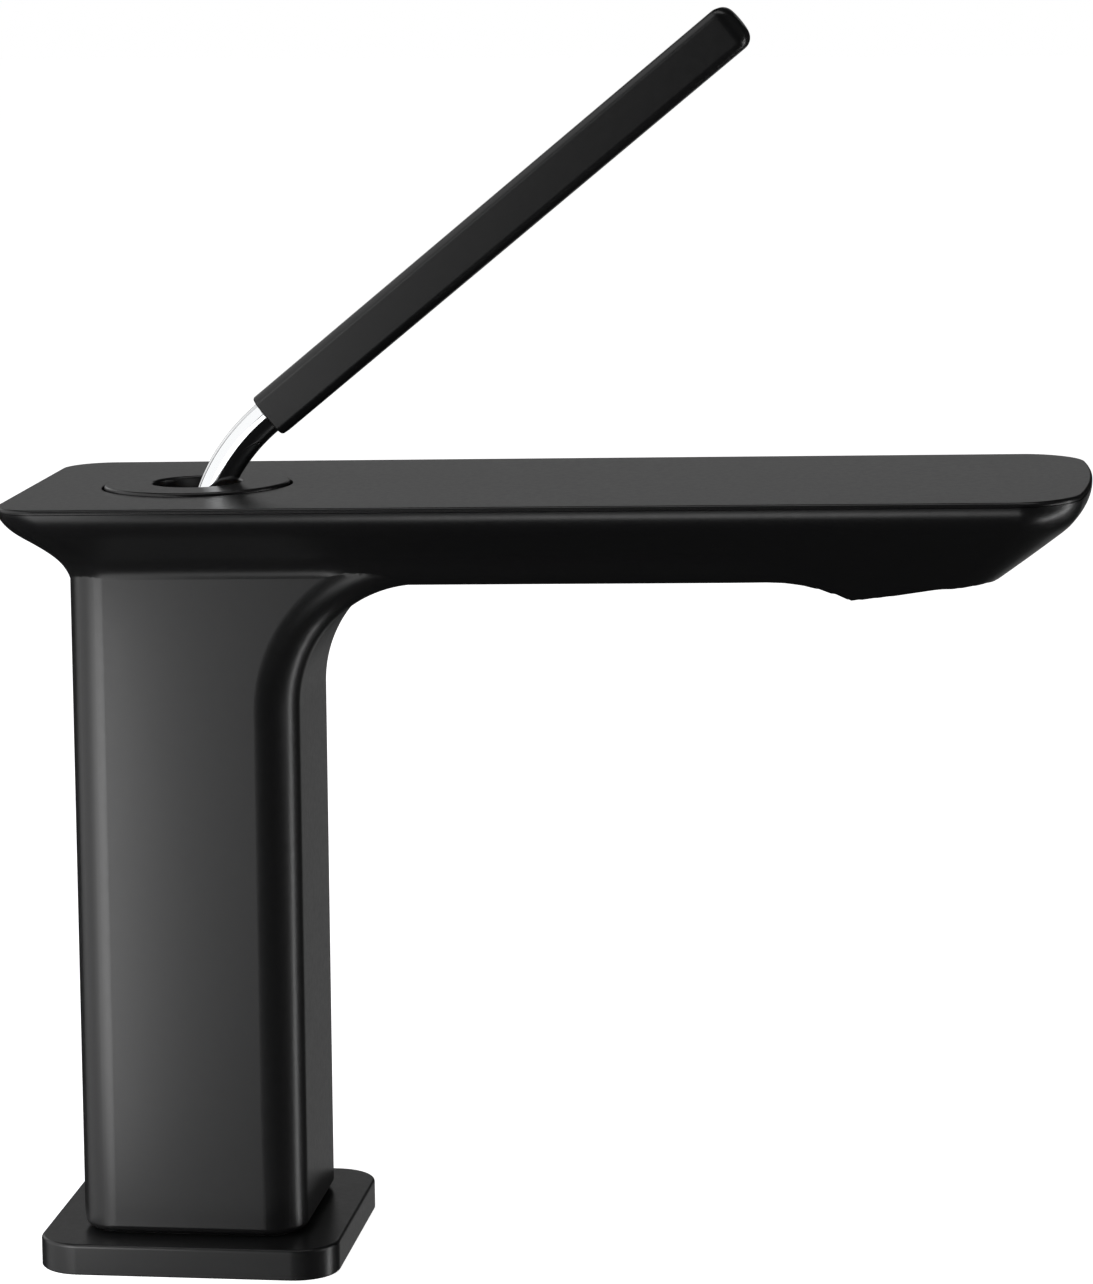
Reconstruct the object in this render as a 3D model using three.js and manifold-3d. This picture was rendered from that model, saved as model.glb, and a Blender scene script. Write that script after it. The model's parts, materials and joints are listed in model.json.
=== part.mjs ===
// Single-lever basin mixer with a flat overhanging spout: millimetres, +Z up, +X along the spout.
// The origin is the middle of the base plate's underside, on the deck.
import * as THREE from 'three';
import { mergeVertices } from 'three/addons/utils/BufferGeometryUtils.js';
import { LoftGeometry } from 'three/addons/geometries/LoftGeometry.js';
import Module from 'manifold-3d';

const wasm = await Module();
wasm.setup();

// ---------------------------------------------------------------- driving dimensions

const GAP = 0.3; // clearance between neighbouring pieces

const PLATE = { side: 60, height: 6.2, corner: 8.7, ease: 0.7 };
const COLUMN = { half: 22.6, edge: 8, wall: 3.1, bottom: PLATE.height + GAP };

// The spout rises slightly towards its tip, so its head has a frame of its own:
// the origin on the top face over the column, x along the spout, z square to the top face.
const TOP_HEIGHT = 153.7;
const RISE = THREE.MathUtils.degToRad(0.95);
const SLAB = { back: -33.9, tip: 175.2, half: 37.5, backCorner: 9, tipCorner: 12, bow: 2.5, depth: 16.2 };
const TIP = { cornerBelow: 6, from: 125, to: 142, depth: 18.3, end: 154.3 }; // where the slab reaches deeper
const UNDERSIDE = -18; // underside of the arm, in the head frame
const INNER_FILLET = 24.7;
const FLARE = { slope: 0.7536, start: 3.32, round: 2, wallRound: 2, tipSlope: 0.71, tipStart: 5.06, tipRound: 3 };
const FLARE_STRETCH = { side: 1.11, back: 0.843 }; // so that each flare ends on the column at the same depth
const ARM_START = 28; // the flare stops meeting the column wall between these two x positions
const ARM_FULL = 40;

// Outlet boss under the tip: the face leans so that the jet leaves slightly forward.
const OUTLET_TILT = THREE.MathUtils.degToRad(8);
const OUTLET = { x: 141.2, z: -20.2, halfLength: 10.7, bore: 8.1, depth: 11 };
const BOSS = { start: 114, startHandle: 7, endHandle: [7, 3] };

const CHANNEL = { from: 30, to: 149, z: -8.8, halfWidth: 12, halfHeight: 4.7, corner: 3 };
const PASSAGE = { from: [8, -30], to: [45, -8], radius: 4 };

const CHAMBER = { recess: 18.8, recessDepth: 2.9, thread: 16.3, threadDepth: 12.3, bore: 14.4, floor: 42.3 };
const CAVITY_TOP = 100; // ceiling of the hollow column

// Water ways and fixings through the foot, as distances from the column axis.
const WATER_Y = 8.5;
const STUD_X = 13.5;
const SCREW_XY = 13.5;
const LUG = { inner: 9, from: 27, to: 42, pilot: 2.3 };
const BLOCK = { half: 19.2, corner: 4.6, bottom: 6.9, top: 26.5 };
const INLET = { radius: 5, depth: 11 };
const RISER = { end: 4.3, tube: 3.4, bore: 2.2, socket: 4.6, groove: 3, endLength: 7 };
const O_RING = { radius: 3.75, wire: 0.5 };

const DECK_THICKNESS = 30;
const STUD = { radius: 3, top: 18, bottom: -62 };
const CLAMP = { radius: 24, slot: 8.5, slotEnd: 16, hole: 3.5, rubber: 3, steel: 2.5 };
const NUT = { flat: 5, height: 5 };

// Cartridge and lever, in the head frame.
const PIVOT = 20; // depth of the lever pivot under the top face
const SPINDLE_TILT = THREE.MathUtils.degToRad(6); // the closed spindle leans towards the spout
const CASING = { radius: 14, inside: 12.2, top: -12.4, roof: -16.2, bottom: -35.7, neck: 7.4 };
const ROSETTE = { radius: 18.4, proud: 0.5, hole: 8.8, skirt: 15.6, skirtInside: 12.2, skirtEnd: -5.5 };
const STEM = { radius: 3.4, bottom: -11, spigot: 2.4, spigotLength: 19, socket: 2.5, socketDepth: 6 };
const STEM_BEND = { lowHandle: 10, highHandle: 10 }; // how far the straight ends pull on the bend
const GRIP = { x: 15.08, z: 13.65, elevation: THREE.MathUtils.degToRad(38.66), length: 120.9 };
const GRIP_SECTION = { half: 4.6, tipHalf: 4.75, corner: 1.7, bore: 2.7, boreDepth: 20, tipRound: 3 };

const PIN = { radius: 1, half: 10.5 };
const SET_SCREW = { radius: 1.1, height: 2.6, along: 10 };
const NUT_RING = { inside: 9.6, neck: 11.6, shoulder: -6, groove: -4.7, top: -3.3 };
const GASKET = { outer: 27, inner: 24, height: 1.3 };
const COLUMN_GASKET = { half: 20.3, height: 1.2, hole: 17 };
const HOSE_HOLE = 5.8;
const SCREW = { head: 3.6, shank: 2, bottom: 7.2, headTop: 10.2, top: 37, key: 1.5 };
const SPRING_WASHER = { radius: 5.2, height: 1.6, split: 0.5 };

// Cartridge, from its base plate up to the slotted guide, in the head frame.
const BASE = { radius: 14, bottom: -42, top: -36, pocket: 4.3, pocketDepth: 1.7 };
const PORT_SEAL = { radius: 3.2, wire: 0.7 };
const DISC = { fixed: 11.5, bottom: -35.6, face: -32.5, sliding: 9.6, top: -29.4, port: 6.4, hole: 2 };
const GUIDE = { radius: 11.8, bottom: -25.2, shoulder: -16.6, neck: 6.9, top: -12.6, slot: 4.5, slotHalf: 5.6 };
const CARRIER = { radius: 9.6, bottom: -29.1, top: -25.6, socket: 3.1 };
const SPINDLE = { hub: 3.9, shaft: 2.9, top: 2.2, tip: 2.3, below: 7.6, above: 14.5 };
const DISC_REST = -8 * Math.sin(SPINDLE_TILT); // the spindle's lower arm is 8 mm long

// Aerator stack, as heights above the outlet face.
const AERATOR = { shell: 7.75, inside: 6.6, lip: 5.7, bottom: 0.4, lipTop: 1.4, top: 8.8 };
const INSERT = { radius: 6.3, bottom: 1.8, top: 4.6, cell: 1.1, cells: 6, circle: 3.6 };
const SCREEN = { hole: 1, bottom: 5, top: 5.5 };
const RESTRICTOR = { hole: 2.2, bottom: 6, top: 8.2 };
const OUTLET_WASHER = { hole: 5.6, bottom: 9.1, top: 10.4 };

// ---------------------------------------------------------------- finishes

function finish(color, roughness, metalness = 0) {
  return new THREE.MeshStandardMaterial({ color, roughness, metalness });
}

const BLACK = finish(0x1b1b1c, 0.45);
const CHROME = finish(0xd9dcdf, 0.08, 1);
const BRASS = finish(0xb89a55, 0.35, 1);
const STEEL = finish(0xa9adb0, 0.35, 1);
const RUBBER = finish(0x141414, 0.85);
const PLASTIC = finish(0xd8d6cf, 0.5);
const CERAMIC = finish(0xf2f0ea, 0.25);
const COPPER = finish(0xb87348, 0.3, 1);

// ---------------------------------------------------------------- solids

// A manifold-3d solid from a closed geometry; triangles that collapse at a pole are dropped.
function solid(geometry) {
  const bare = new THREE.BufferGeometry();
  bare.setAttribute('position', geometry.attributes.position.clone());
  bare.setIndex(geometry.index);
  const merged = mergeVertices(bare, 1e-4);
  const index = merged.index.array;
  const triangles = [];
  for (let i = 0; i < index.length; i += 3) {
    const [a, b, c] = [index[i], index[i + 1], index[i + 2]];
    if (a !== b && b !== c && c !== a) triangles.push(a, b, c);
  }
  const mesh = { numProp: 3, vertProperties: merged.attributes.position.array };
  return new wasm.Manifold(new wasm.Mesh({ ...mesh, triVerts: new Uint32Array(triangles) }));
}

// The geometry of a manifold-3d solid.
function surface(made) {
  const mesh = made.getMesh();
  const geometry = new THREE.BufferGeometry();
  geometry.setAttribute('position', new THREE.BufferAttribute(mesh.vertProperties, 3));
  geometry.setIndex(new THREE.BufferAttribute(mesh.triVerts, 1));
  geometry.computeVertexNormals();
  return geometry;
}

function cut(base, ...tools) {
  let made = solid(base);
  for (const tool of tools) made = made.subtract(solid(tool));
  return surface(made);
}

function join(base, ...others) {
  let made = solid(base);
  for (const other of others) made = made.add(solid(other));
  return surface(made);
}

// A turned piece about Z. The profile lists [radius, z] points counter-clockwise, outer wall
// going up, and closes on itself unless it starts and ends on the axis.
function turned(profile, segments = 24) {
  const onAxis = profile[0][0] === 0 && profile.at(-1)[0] === 0;
  const points = (onAxis ? profile : [...profile, profile[0]]).map(([r, z]) => new THREE.Vector2(r, z));
  return new THREE.LatheGeometry(points, segments).rotateX(Math.PI / 2);
}

// A washer or sleeve between two heights.
function sleeve(inner, outer, bottom, top, segments = 24) {
  return turned([[inner, bottom], [outer, bottom], [outer, top], [inner, top]], segments);
}

// A round rod between two heights on the Z axis.
function rod(radius, bottom, top, segments = 24) {
  return turned([[0, bottom], [radius, bottom], [radius, top], [0, top]], segments);
}

function ring(radius, wire, segments = 16, sides = 6) {
  return new THREE.TorusGeometry(radius, wire, sides, segments);
}

// A round rod from one point to another.
function rodBetween(from, to, radius, segments = 16) {
  const axis = new THREE.Vector3().subVectors(to, from);
  const turn = new THREE.Quaternion().setFromUnitVectors(new THREE.Vector3(0, 0, 1), axis.clone().normalize());
  return rod(radius, 0, axis.length(), segments).applyQuaternion(turn).translate(from.x, from.y, from.z);
}

function roundedRect(halfX, halfY, radius) {
  const shape = new THREE.Shape();
  shape.moveTo(halfX - radius, -halfY);
  shape.absarc(halfX - radius, radius - halfY, radius, -Math.PI / 2, 0);
  shape.absarc(halfX - radius, halfY - radius, radius, 0, Math.PI / 2);
  shape.absarc(radius - halfX, halfY - radius, radius, Math.PI / 2, Math.PI);
  shape.absarc(radius - halfX, radius - halfY, radius, Math.PI, 1.5 * Math.PI);
  return shape;
}

function circle(x, y, radius) {
  return new THREE.Path().absarc(x, y, radius, 0, 2 * Math.PI, true);
}

// A flat piece between two heights.
function plate(shape, bottom, top, curveSegments = 5) {
  const options = { depth: top - bottom, bevelEnabled: false, curveSegments };
  return new THREE.ExtrudeGeometry(shape, options).translate(0, 0, bottom);
}

function block(x, y, z) {
  const size = [x, y, z].map(([low, high]) => high - low);
  return new THREE.BoxGeometry(...size).translate(...[x, y, z].map(([low, high]) => (low + high) / 2));
}

// ---------------------------------------------------------------- scene graph

const faucet = new THREE.Group();
const head = new THREE.Group();
head.position.z = TOP_HEIGHT;
head.rotation.y = -RISE;
const outlet = new THREE.Group();
outlet.position.set(OUTLET.x, 0, OUTLET.z);
outlet.rotation.y = -OUTLET_TILT;
faucet.add(head);
head.add(outlet);
faucet.updateMatrixWorld(true);

function add(parent, name, geometry, material) {
  const mesh = new THREE.Mesh(geometry, material);
  mesh.name = name;
  parent.add(mesh);
  return mesh;
}

// A point of the head's XZ plane, in the faucet's frame.
function headPoint([x, z]) {
  const p = new THREE.Vector3(x, 0, z).applyMatrix4(head.matrixWorld);
  return new THREE.Vector2(p.x, p.z);
}

// ---------------------------------------------------------------- body

// Rounded versions of max and min, with a blend of the given width.
function softMax(a, b, width) {
  const h = Math.max(width - Math.abs(a - b), 0) / width;
  return Math.max(a, b) + (h * h * width) / 4;
}

function softMin(a, b, width) {
  return -softMax(-a, -b, width);
}

// How far the slab's side stands in from its rim at a depth below the top face.
function flareInset(depth, { slope, start, stretch, wall, round }) {
  const line = ((depth - start) * stretch) / slope;
  const inset = softMax(line, 0, round);
  return wall === undefined ? inset : softMin(inset, wall, FLARE.wallRound);
}

// One closed ring of the slab's side. Straight sides carry extra points where the flare changes.
function slabRing(depth, edgeInset) {
  const side = { slope: FLARE.slope, start: FLARE.start, stretch: FLARE_STRETCH.side, round: FLARE.round };
  const backFlare = { ...side, stretch: FLARE_STRETCH.back, wall: -SLAB.back - COLUMN.half + GAP };
  const columnFlare = { ...side, wall: SLAB.half - COLUMN.half + GAP };
  const tipFlare = { slope: FLARE.tipSlope, start: FLARE.tipStart, stretch: 1, round: FLARE.tipRound };
  const insetOf = (flare) => flareInset(depth, flare) + edgeInset;
  const halfAt = (x) => {
    const share = THREE.MathUtils.smoothstep(x, ARM_START, ARM_FULL);
    return SLAB.half - THREE.MathUtils.lerp(insetOf(columnFlare), insetOf(side), share);
  };
  const tip = SLAB.tip - insetOf(tipFlare);
  const back = SLAB.back + insetOf(backFlare);
  const corner = THREE.MathUtils.lerp(SLAB.tipCorner, TIP.cornerBelow, depth / TIP.depth);
  const upper = cornerArc(tip - corner, halfAt(ARM_FULL), corner, 0);
  for (const x of [TIP.from, ARM_FULL, 37, 34, 31, ARM_START]) upper.push([x, halfAt(x)]);
  upper.push(...cornerArc(back + SLAB.backCorner, halfAt(ARM_START), SLAB.backCorner, Math.PI / 2));
  const bowed = ([x, y]) => {
    const weight = THREE.MathUtils.smoothstep(x, tip - 2 * SLAB.tipCorner, tip);
    return [x - SLAB.bow * weight * (y / SLAB.half) ** 2, y];
  };
  const depthAt = (x) => {
    const share = THREE.MathUtils.smoothstep(x, TIP.from, TIP.to);
    return THREE.MathUtils.lerp(Math.min(depth, SLAB.depth), depth, share);
  };
  const lower = upper.map(([x, y]) => [x, -y]).reverse();
  return [...upper, ...lower].map(bowed).map(([x, y]) => new THREE.Vector3(x, y, -depthAt(x)));
}

// A quarter circle under the line y = top, from a start angle.
function cornerArc(x, top, radius, start, steps = 5) {
  return Array.from({ length: steps + 1 }, (_, i) => {
    const a = start + ((i / steps) * Math.PI) / 2;
    return [x + radius * Math.cos(a), top - radius + radius * Math.sin(a)];
  });
}

function slab() {
  const rim = 0.5;
  const depths = [rim, 2, 3, 4.2, 6, 9, 12, 13, 14, 15, SLAB.depth, 17.3, TIP.depth];
  const rings = [slabRing(0, rim), ...depths.map((depth) => slabRing(depth, 0))];
  return new LoftGeometry(rings.reverse(), { capStart: true, capEnd: true });
}

// Outer outline of the column, inner fillet, arm underside and outlet boss, in the XZ plane.
function profileOutline() {
  const right = COLUMN.half;
  const slope = Math.tan(RISE);
  const underside = headPoint([0, UNDERSIDE]);
  const filletX = right + INNER_FILLET;
  const filletZ = underside.y + (filletX - underside.x) * slope - INNER_FILLET / Math.cos(RISE);
  const points = [new THREE.Vector2(-right, 0), new THREE.Vector2(right, 0)];
  const steps = 12;
  for (let i = 0; i <= steps; i++) {
    const a = Math.PI - ((Math.PI / 2 - RISE) * i) / steps;
    points.push(new THREE.Vector2(filletX + INNER_FILLET * Math.cos(a), filletZ + INNER_FILLET * Math.sin(a)));
  }
  const near = outletPoint(-OUTLET.halfLength);
  const boss = new THREE.CubicBezierCurve(
    new THREE.Vector2(BOSS.start, UNDERSIDE),
    new THREE.Vector2(BOSS.start + BOSS.startHandle, UNDERSIDE),
    new THREE.Vector2(near[0] - BOSS.endHandle[0], near[1] + BOSS.endHandle[1]),
    new THREE.Vector2(...near),
  );
  for (const p of boss.getPoints(5)) points.push(headPoint([p.x, p.y]));
  const far = outletPoint((TIP.end - OUTLET.x) / Math.cos(OUTLET_TILT));
  for (const p of [far, [TIP.end, -1]]) points.push(headPoint(p));
  points.push(new THREE.Vector2(-right, headPoint([-right, -1]).y));
  return points;
}

// A point of the outlet face, given along the face from its middle, in the head frame.
function outletPoint(along) {
  return [OUTLET.x + along * Math.cos(OUTLET_TILT), OUTLET.z + along * Math.sin(OUTLET_TILT)];
}

// The outline moved inwards, so that the extrusion's rounded edges grow back to the true one.
function movedIn(points, distance) {
  const n = points.length;
  return points.map((p, i) => {
    const before = new THREE.Vector2().subVectors(p, points[(i + n - 1) % n]).normalize();
    const after = new THREE.Vector2().subVectors(points[(i + 1) % n], p).normalize();
    const normal = new THREE.Vector2(-before.y - after.y, before.x + after.x).normalize();
    const spread = Math.sqrt((1 + before.dot(after)) / 2);
    return p.clone().addScaledVector(normal, distance / spread);
  });
}

function columnAndArm() {
  const shape = new THREE.Shape(movedIn(profileOutline(), COLUMN.edge));
  const straight = 2 * (COLUMN.half - COLUMN.edge);
  const options = { depth: straight, bevelSize: COLUMN.edge, bevelThickness: COLUMN.edge, bevelSegments: 4 };
  const solidBody = new THREE.ExtrudeGeometry(shape, options);
  return solidBody.translate(0, 0, -straight / 2).rotateX(Math.PI / 2);
}

function inHead(geometry) {
  return geometry.applyMatrix4(head.matrixWorld);
}

function chamber() {
  const { recess, recessDepth, thread, threadDepth, bore, floor } = CHAMBER;
  const profile = [
    [0, -floor], [bore, -floor], [bore, -threadDepth], [thread, -threadDepth],
    [thread, -recessDepth], [recess, -recessDepth], [recess, 5], [0, 5],
  ];
  return inHead(turned(profile, 40));
}

function spoutChannel() {
  const { from, to, z, halfWidth, halfHeight, corner } = CHANNEL;
  const section = plate(roundedRect(halfHeight, halfWidth, corner), from, to, 3);
  return inHead(section.rotateY(Math.PI / 2).translate(0, 0, z));
}

function slantedPassage() {
  const [from, to] = [PASSAGE.from, PASSAGE.to].map(([x, z]) => new THREE.Vector3(x, 0, z));
  return inHead(rodBetween(from, to, PASSAGE.radius));
}

function aeratorBore() {
  return rod(OUTLET.bore, -5, OUTLET.depth, 32).applyMatrix4(outlet.matrixWorld);
}

// The hollow of the column, less the two corner lugs that take the foot screws.
function columnHollow() {
  const half = COLUMN.half - COLUMN.wall;
  let hollow = solid(plate(roundedRect(half, half, BLOCK.corner + GAP), COLUMN.bottom - 5, CAVITY_TOP));
  for (const side of [-1, 1]) {
    const span = side > 0 ? [LUG.inner, half + 1] : [-half - 1, -LUG.inner];
    hollow = hollow.subtract(solid(block(span, span, [LUG.from, LUG.to])));
  }
  return surface(hollow);
}

function bodyShell() {
  const tools = [chamber(), spoutChannel(), slantedPassage(), aeratorBore(), columnHollow()];
  for (const side of [-1, 1]) {
    tools.push(rod(RISER.socket, CAVITY_TOP - 1, CAVITY_TOP + RISER.endLength).translate(0, side * WATER_Y, 0));
    const port = rod(RISER.bore, CAVITY_TOP + 1, TOP_HEIGHT - CHAMBER.floor + 2, 12);
    tools.push(port.translate(0, side * WATER_Y, 0));
    const screwHole = rod(LUG.pilot, LUG.from - 1, LUG.to - 3, 12);
    tools.push(screwHole.translate(side * SCREW_XY, side * SCREW_XY, 0));
  }
  tools.push(block([-60, 60], [-60, 60], [-60, COLUMN.bottom]));
  return cut(join(columnAndArm(), inHead(slab())), ...tools);
}

add(faucet, 'body_shell', bodyShell(), BLACK);

// ---------------------------------------------------------------- foot and deck fixing

function basePlate() {
  const { side, height, corner, ease } = PLATE;
  const shape = roundedRect(side / 2 - ease, side / 2 - ease, corner - ease);
  const bevel = { bevelSize: ease, bevelThickness: ease, bevelSegments: 3 };
  const slabbed = new THREE.ExtrudeGeometry(shape, { depth: height - ease, curveSegments: 6, ...bevel });
  const tools = [block([-side, side], [-side, side], [-5, 0])];
  tools.push(frameRing(GASKET.outer + GAP, GASKET.inner - GAP, -1, GASKET.height + GAP));
  const seat = COLUMN_GASKET.half + GAP;
  tools.push(plate(roundedRect(seat, seat, COLUMN.edge - 2), height - COLUMN_GASKET.height, height + 1));
  for (const sign of [-1, 1]) {
    tools.push(rod(HOSE_HOLE, -1, height + 1).translate(0, sign * WATER_Y, 0));
    tools.push(rod(CLAMP.hole, -1, height + 1, 16).translate(sign * STUD_X, 0, 0));
  }
  return cut(slabbed, ...tools);
}

// A square ring with rounded corners, between two heights.
function frameRing(outer, inner, bottom, top) {
  const shape = roundedRect(outer, outer, PLATE.corner - 3);
  shape.holes.push(roundedRect(inner, inner, PLATE.corner - 5));
  return plate(shape, bottom, top, 4);
}

function columnGasket() {
  const { half, height } = COLUMN_GASKET;
  const shape = roundedRect(half, half, COLUMN.edge - 2);
  shape.holes.push(circle(0, 0, COLUMN_GASKET.hole));
  return plate(shape, PLATE.height - height + GAP, PLATE.height, 6);
}

function footBlock() {
  const { half, corner, bottom, top } = BLOCK;
  const tools = [];
  for (const sign of [-1, 1]) {
    const y = sign * WATER_Y;
    tools.push(rod(INLET.radius, bottom - 1, bottom + INLET.depth).translate(0, y, 0));
    tools.push(rod(RISER.bore, bottom + 1, top, 12).translate(0, y, 0));
    tools.push(rod(RISER.socket, top - RISER.endLength, top + 1).translate(0, y, 0));
    tools.push(rod(STUD.radius + GAP, bottom - 1, STUD.top + 1, 16).translate(sign * STUD_X, 0, 0));
    const corner = sign * SCREW_XY;
    tools.push(rod(SCREW.shank + GAP, bottom - 1, top + 1, 12).translate(corner, corner, 0));
    tools.push(rod(SCREW.head + GAP, bottom - 1, SCREW.headTop + GAP, 16).translate(corner, corner, 0));
  }
  return cut(plate(roundedRect(half, half, corner), bottom, top, 4), ...tools);
}

function footScrew() {
  const { head: width, shank, bottom, headTop, top } = SCREW;
  const profile = [[0, bottom], [width, bottom], [width, headTop], [shank, headTop], [shank, top], [0, top]];
  return cut(turned(profile, 16), rod(SCREW.key, bottom - 1, bottom + 1.6, 6));
}

// A horseshoe that slides round the hoses: studs pass its two holes, hoses its open slot.
function horseshoe(bottom, top) {
  const { radius, slot, slotEnd, hole } = CLAMP;
  const opening = Math.asin(slot / radius);
  const shape = new THREE.Shape();
  shape.absarc(0, 0, radius, opening - Math.PI / 2, 1.5 * Math.PI - opening);
  shape.lineTo(-slot, slotEnd - slot);
  shape.absarc(0, slotEnd - slot, slot, Math.PI, 0, true);
  for (const side of [-1, 1]) shape.holes.push(circle(side * STUD_X, 0, hole));
  return plate(shape, bottom, top, 10);
}

function hexNut(bottom, top) {
  const hexagon = rod(NUT.flat / Math.cos(Math.PI / 6), bottom, top, 6);
  return cut(hexagon, rod(STUD.radius + GAP, bottom - 1, top + 1, 16));
}

// A split spring washer.
function splitWasher(bottom, top) {
  const { radius, split } = SPRING_WASHER;
  const slit = block([0, radius + 1], [-split, split], [bottom - 1, top + 1]);
  return cut(sleeve(STUD.radius + GAP, radius, bottom, top, 20), slit);
}

// A riser tube with thick ends, each with a groove for its O-ring.
function riser(bottom, top) {
  const { end, tube, bore, groove, endLength } = RISER;
  const low = bottom + endLength - 1;
  const high = top - endLength + 1;
  const mid = endLength / 2 - 0.5;
  const grooveHalf = O_RING.wire + 0.2;
  return turned([
    [bore, bottom], [end, bottom], [end, bottom + mid - grooveHalf], [groove, bottom + mid - grooveHalf],
    [groove, bottom + mid + grooveHalf], [end, bottom + mid + grooveHalf], [end, low], [tube, low + 1],
    [tube, high - 1], [end, high], [end, top - mid - grooveHalf], [groove, top - mid - grooveHalf],
    [groove, top - mid + grooveHalf], [end, top - mid + grooveHalf], [end, top], [bore, top],
  ], 16);
}

add(faucet, 'base_plate', basePlate(), BLACK);
add(faucet, 'base_gasket', frameRing(GASKET.outer, GASKET.inner, 0, GASKET.height), RUBBER);
add(faucet, 'column_gasket', columnGasket(), RUBBER);
add(faucet, 'foot_block', footBlock(), BRASS);

const clampTop = -DECK_THICKNESS;
const steelTop = clampTop - CLAMP.rubber - GAP;
const washerTop = steelTop - CLAMP.steel - GAP;
const nutTop = washerTop - SPRING_WASHER.height - GAP;
add(faucet, 'clamp_washer', horseshoe(clampTop - CLAMP.rubber, clampTop), RUBBER);
add(faucet, 'clamp_plate', horseshoe(steelTop - CLAMP.steel, steelTop), STEEL);

const SIDES = [{ sign: -1, water: 'hot', end: 'back' }, { sign: 1, water: 'cold', end: 'front' }];
for (const [index, { sign, water, end }] of SIDES.entries()) {
  const corner = sign * SCREW_XY;
  add(faucet, `foot_screw_${index + 1}`, footScrew(), STEEL).position.set(corner, corner, 0);
  add(faucet, `stud_${end}`, rod(STUD.radius, STUD.bottom, STUD.top, 16), STEEL).position.x = sign * STUD_X;
  const spring = splitWasher(washerTop - SPRING_WASHER.height, washerTop);
  add(faucet, `spring_washer_${end}`, spring, STEEL).position.x = sign * STUD_X;
  add(faucet, `nut_${end}`, hexNut(nutTop - NUT.height, nutTop), BRASS).position.x = sign * STUD_X;
  const riserBottom = BLOCK.top - RISER.endLength + GAP;
  const riserTop = CAVITY_TOP + RISER.endLength - GAP;
  add(faucet, `${water}_riser`, riser(riserBottom, riserTop), COPPER).position.y = sign * WATER_Y;
  const middle = RISER.endLength / 2 - 0.5;
  for (const [place, z] of [['lower', riserBottom + middle], ['upper', riserTop - middle]]) {
    const seal = add(faucet, `${water}_riser_o_ring_${place}`, ring(O_RING.radius, O_RING.wire), RUBBER);
    seal.position.set(0, sign * WATER_Y, z);
  }
}

// ---------------------------------------------------------------- cartridge

function cartridgeBase() {
  const { radius, bottom, top, pocket, pocketDepth } = BASE;
  const tools = [];
  for (const side of [-1, 1]) {
    const low = new THREE.Vector3(0, side * WATER_Y, bottom - 1);
    const high = new THREE.Vector3(0, side * DISC.port, top + 1);
    tools.push(rodBetween(low, high, DISC.hole, 12));
    tools.push(rod(pocket, bottom - 1, bottom + pocketDepth, 20).translate(0, side * WATER_Y, 0));
  }
  return cut(rod(radius, bottom, top, 32), ...tools);
}

function casing() {
  const { radius, inside, top, roof, bottom, neck } = CASING;
  const grooveMiddle = (top + roof) / 2;
  const profile = [
    [inside, bottom], [radius, bottom], [radius, grooveMiddle - 0.8], [radius - 1.5, grooveMiddle - 0.8],
    [radius - 1.5, grooveMiddle + 0.8], [radius, grooveMiddle + 0.8], [radius, top], [neck, top],
    [neck, roof], [inside, roof],
  ];
  const windows = [-1, 1].map((side) => {
    return block([8, 16], [side > 0 ? 1.5 : -6.5, side > 0 ? 6.5 : -1.5], [-32, -26]);
  });
  return cut(turned(profile, 32), ...windows);
}

function fixedDisc() {
  const tools = [-1, 1].map((side) => rod(DISC.hole, -40, -30, 12).translate(0, side * DISC.port, 0));
  return cut(rod(DISC.fixed, DISC.bottom, DISC.face, 32), ...tools);
}

// The moving disc has a mixing pocket in its lower face, open to its rim at the front.
function slidingDisc() {
  const bottom = DISC.face + 0.1;
  const pocket = block([1.5, 12], [-7, 7], [bottom - 1, bottom + 1.5]);
  return cut(rod(DISC.sliding, bottom, DISC.top, 32), pocket);
}

function discCarrier() {
  return cut(rod(CARRIER.radius, CARRIER.bottom, CARRIER.top, 28), rod(CARRIER.socket, -40, -20, 16));
}

// Turns in the casing with the lever; its slot lets the spindle rock fore and aft only.
function swivelGuide() {
  const { radius, bottom, shoulder, neck, top, slot, slotHalf } = GUIDE;
  const profile = [[0, bottom], [radius, bottom], [radius, shoulder], [neck, shoulder], [neck, top], [0, top]];
  const slotCut = block([-slotHalf, slotHalf], [-slot, slot], [bottom - 1, top + 1]);
  return cut(turned(profile, 32), slotCut, pinRod(PIN.radius + GAP, 20));
}

function pinRod(radius, half) {
  return rod(radius, -half, half, 12).rotateX(Math.PI / 2).translate(0, 0, -PIVOT);
}

// The rocking spindle, drawn upright about its pivot.
function spindle() {
  const { hub, shaft, top, tip, below, above } = SPINDLE;
  const profile = [
    [0, -below], [tip * 0.75, 0.6 - below], [tip, 2.2 - below], [tip * 0.8, 4 - below], [shaft, -2.4],
    [shaft, 8], [top, 8.6], [top, above], [0, above],
  ];
  const eye = new THREE.SphereGeometry(hub, 16, 10);
  return cut(join(turned(profile, 16), eye), rod(PIN.radius + GAP, -9, 9, 12).rotateX(Math.PI / 2));
}

function cartridgeNut() {
  const { thread, threadDepth } = CHAMBER;
  const radius = thread - GAP;
  const bottom = GAP - threadDepth;
  const profile = [
    [NUT_RING.inside, bottom], [radius, bottom], [radius, NUT_RING.shoulder],
    [NUT_RING.neck, NUT_RING.shoulder],
    [NUT_RING.neck, NUT_RING.groove - 0.8], [NUT_RING.neck - 1.3, NUT_RING.groove - 0.8],
    [NUT_RING.neck - 1.3, NUT_RING.groove + 0.8], [NUT_RING.neck, NUT_RING.groove + 0.8],
    [NUT_RING.neck, NUT_RING.top], [NUT_RING.inside, NUT_RING.top],
  ];
  return turned(profile, 30);
}

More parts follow.
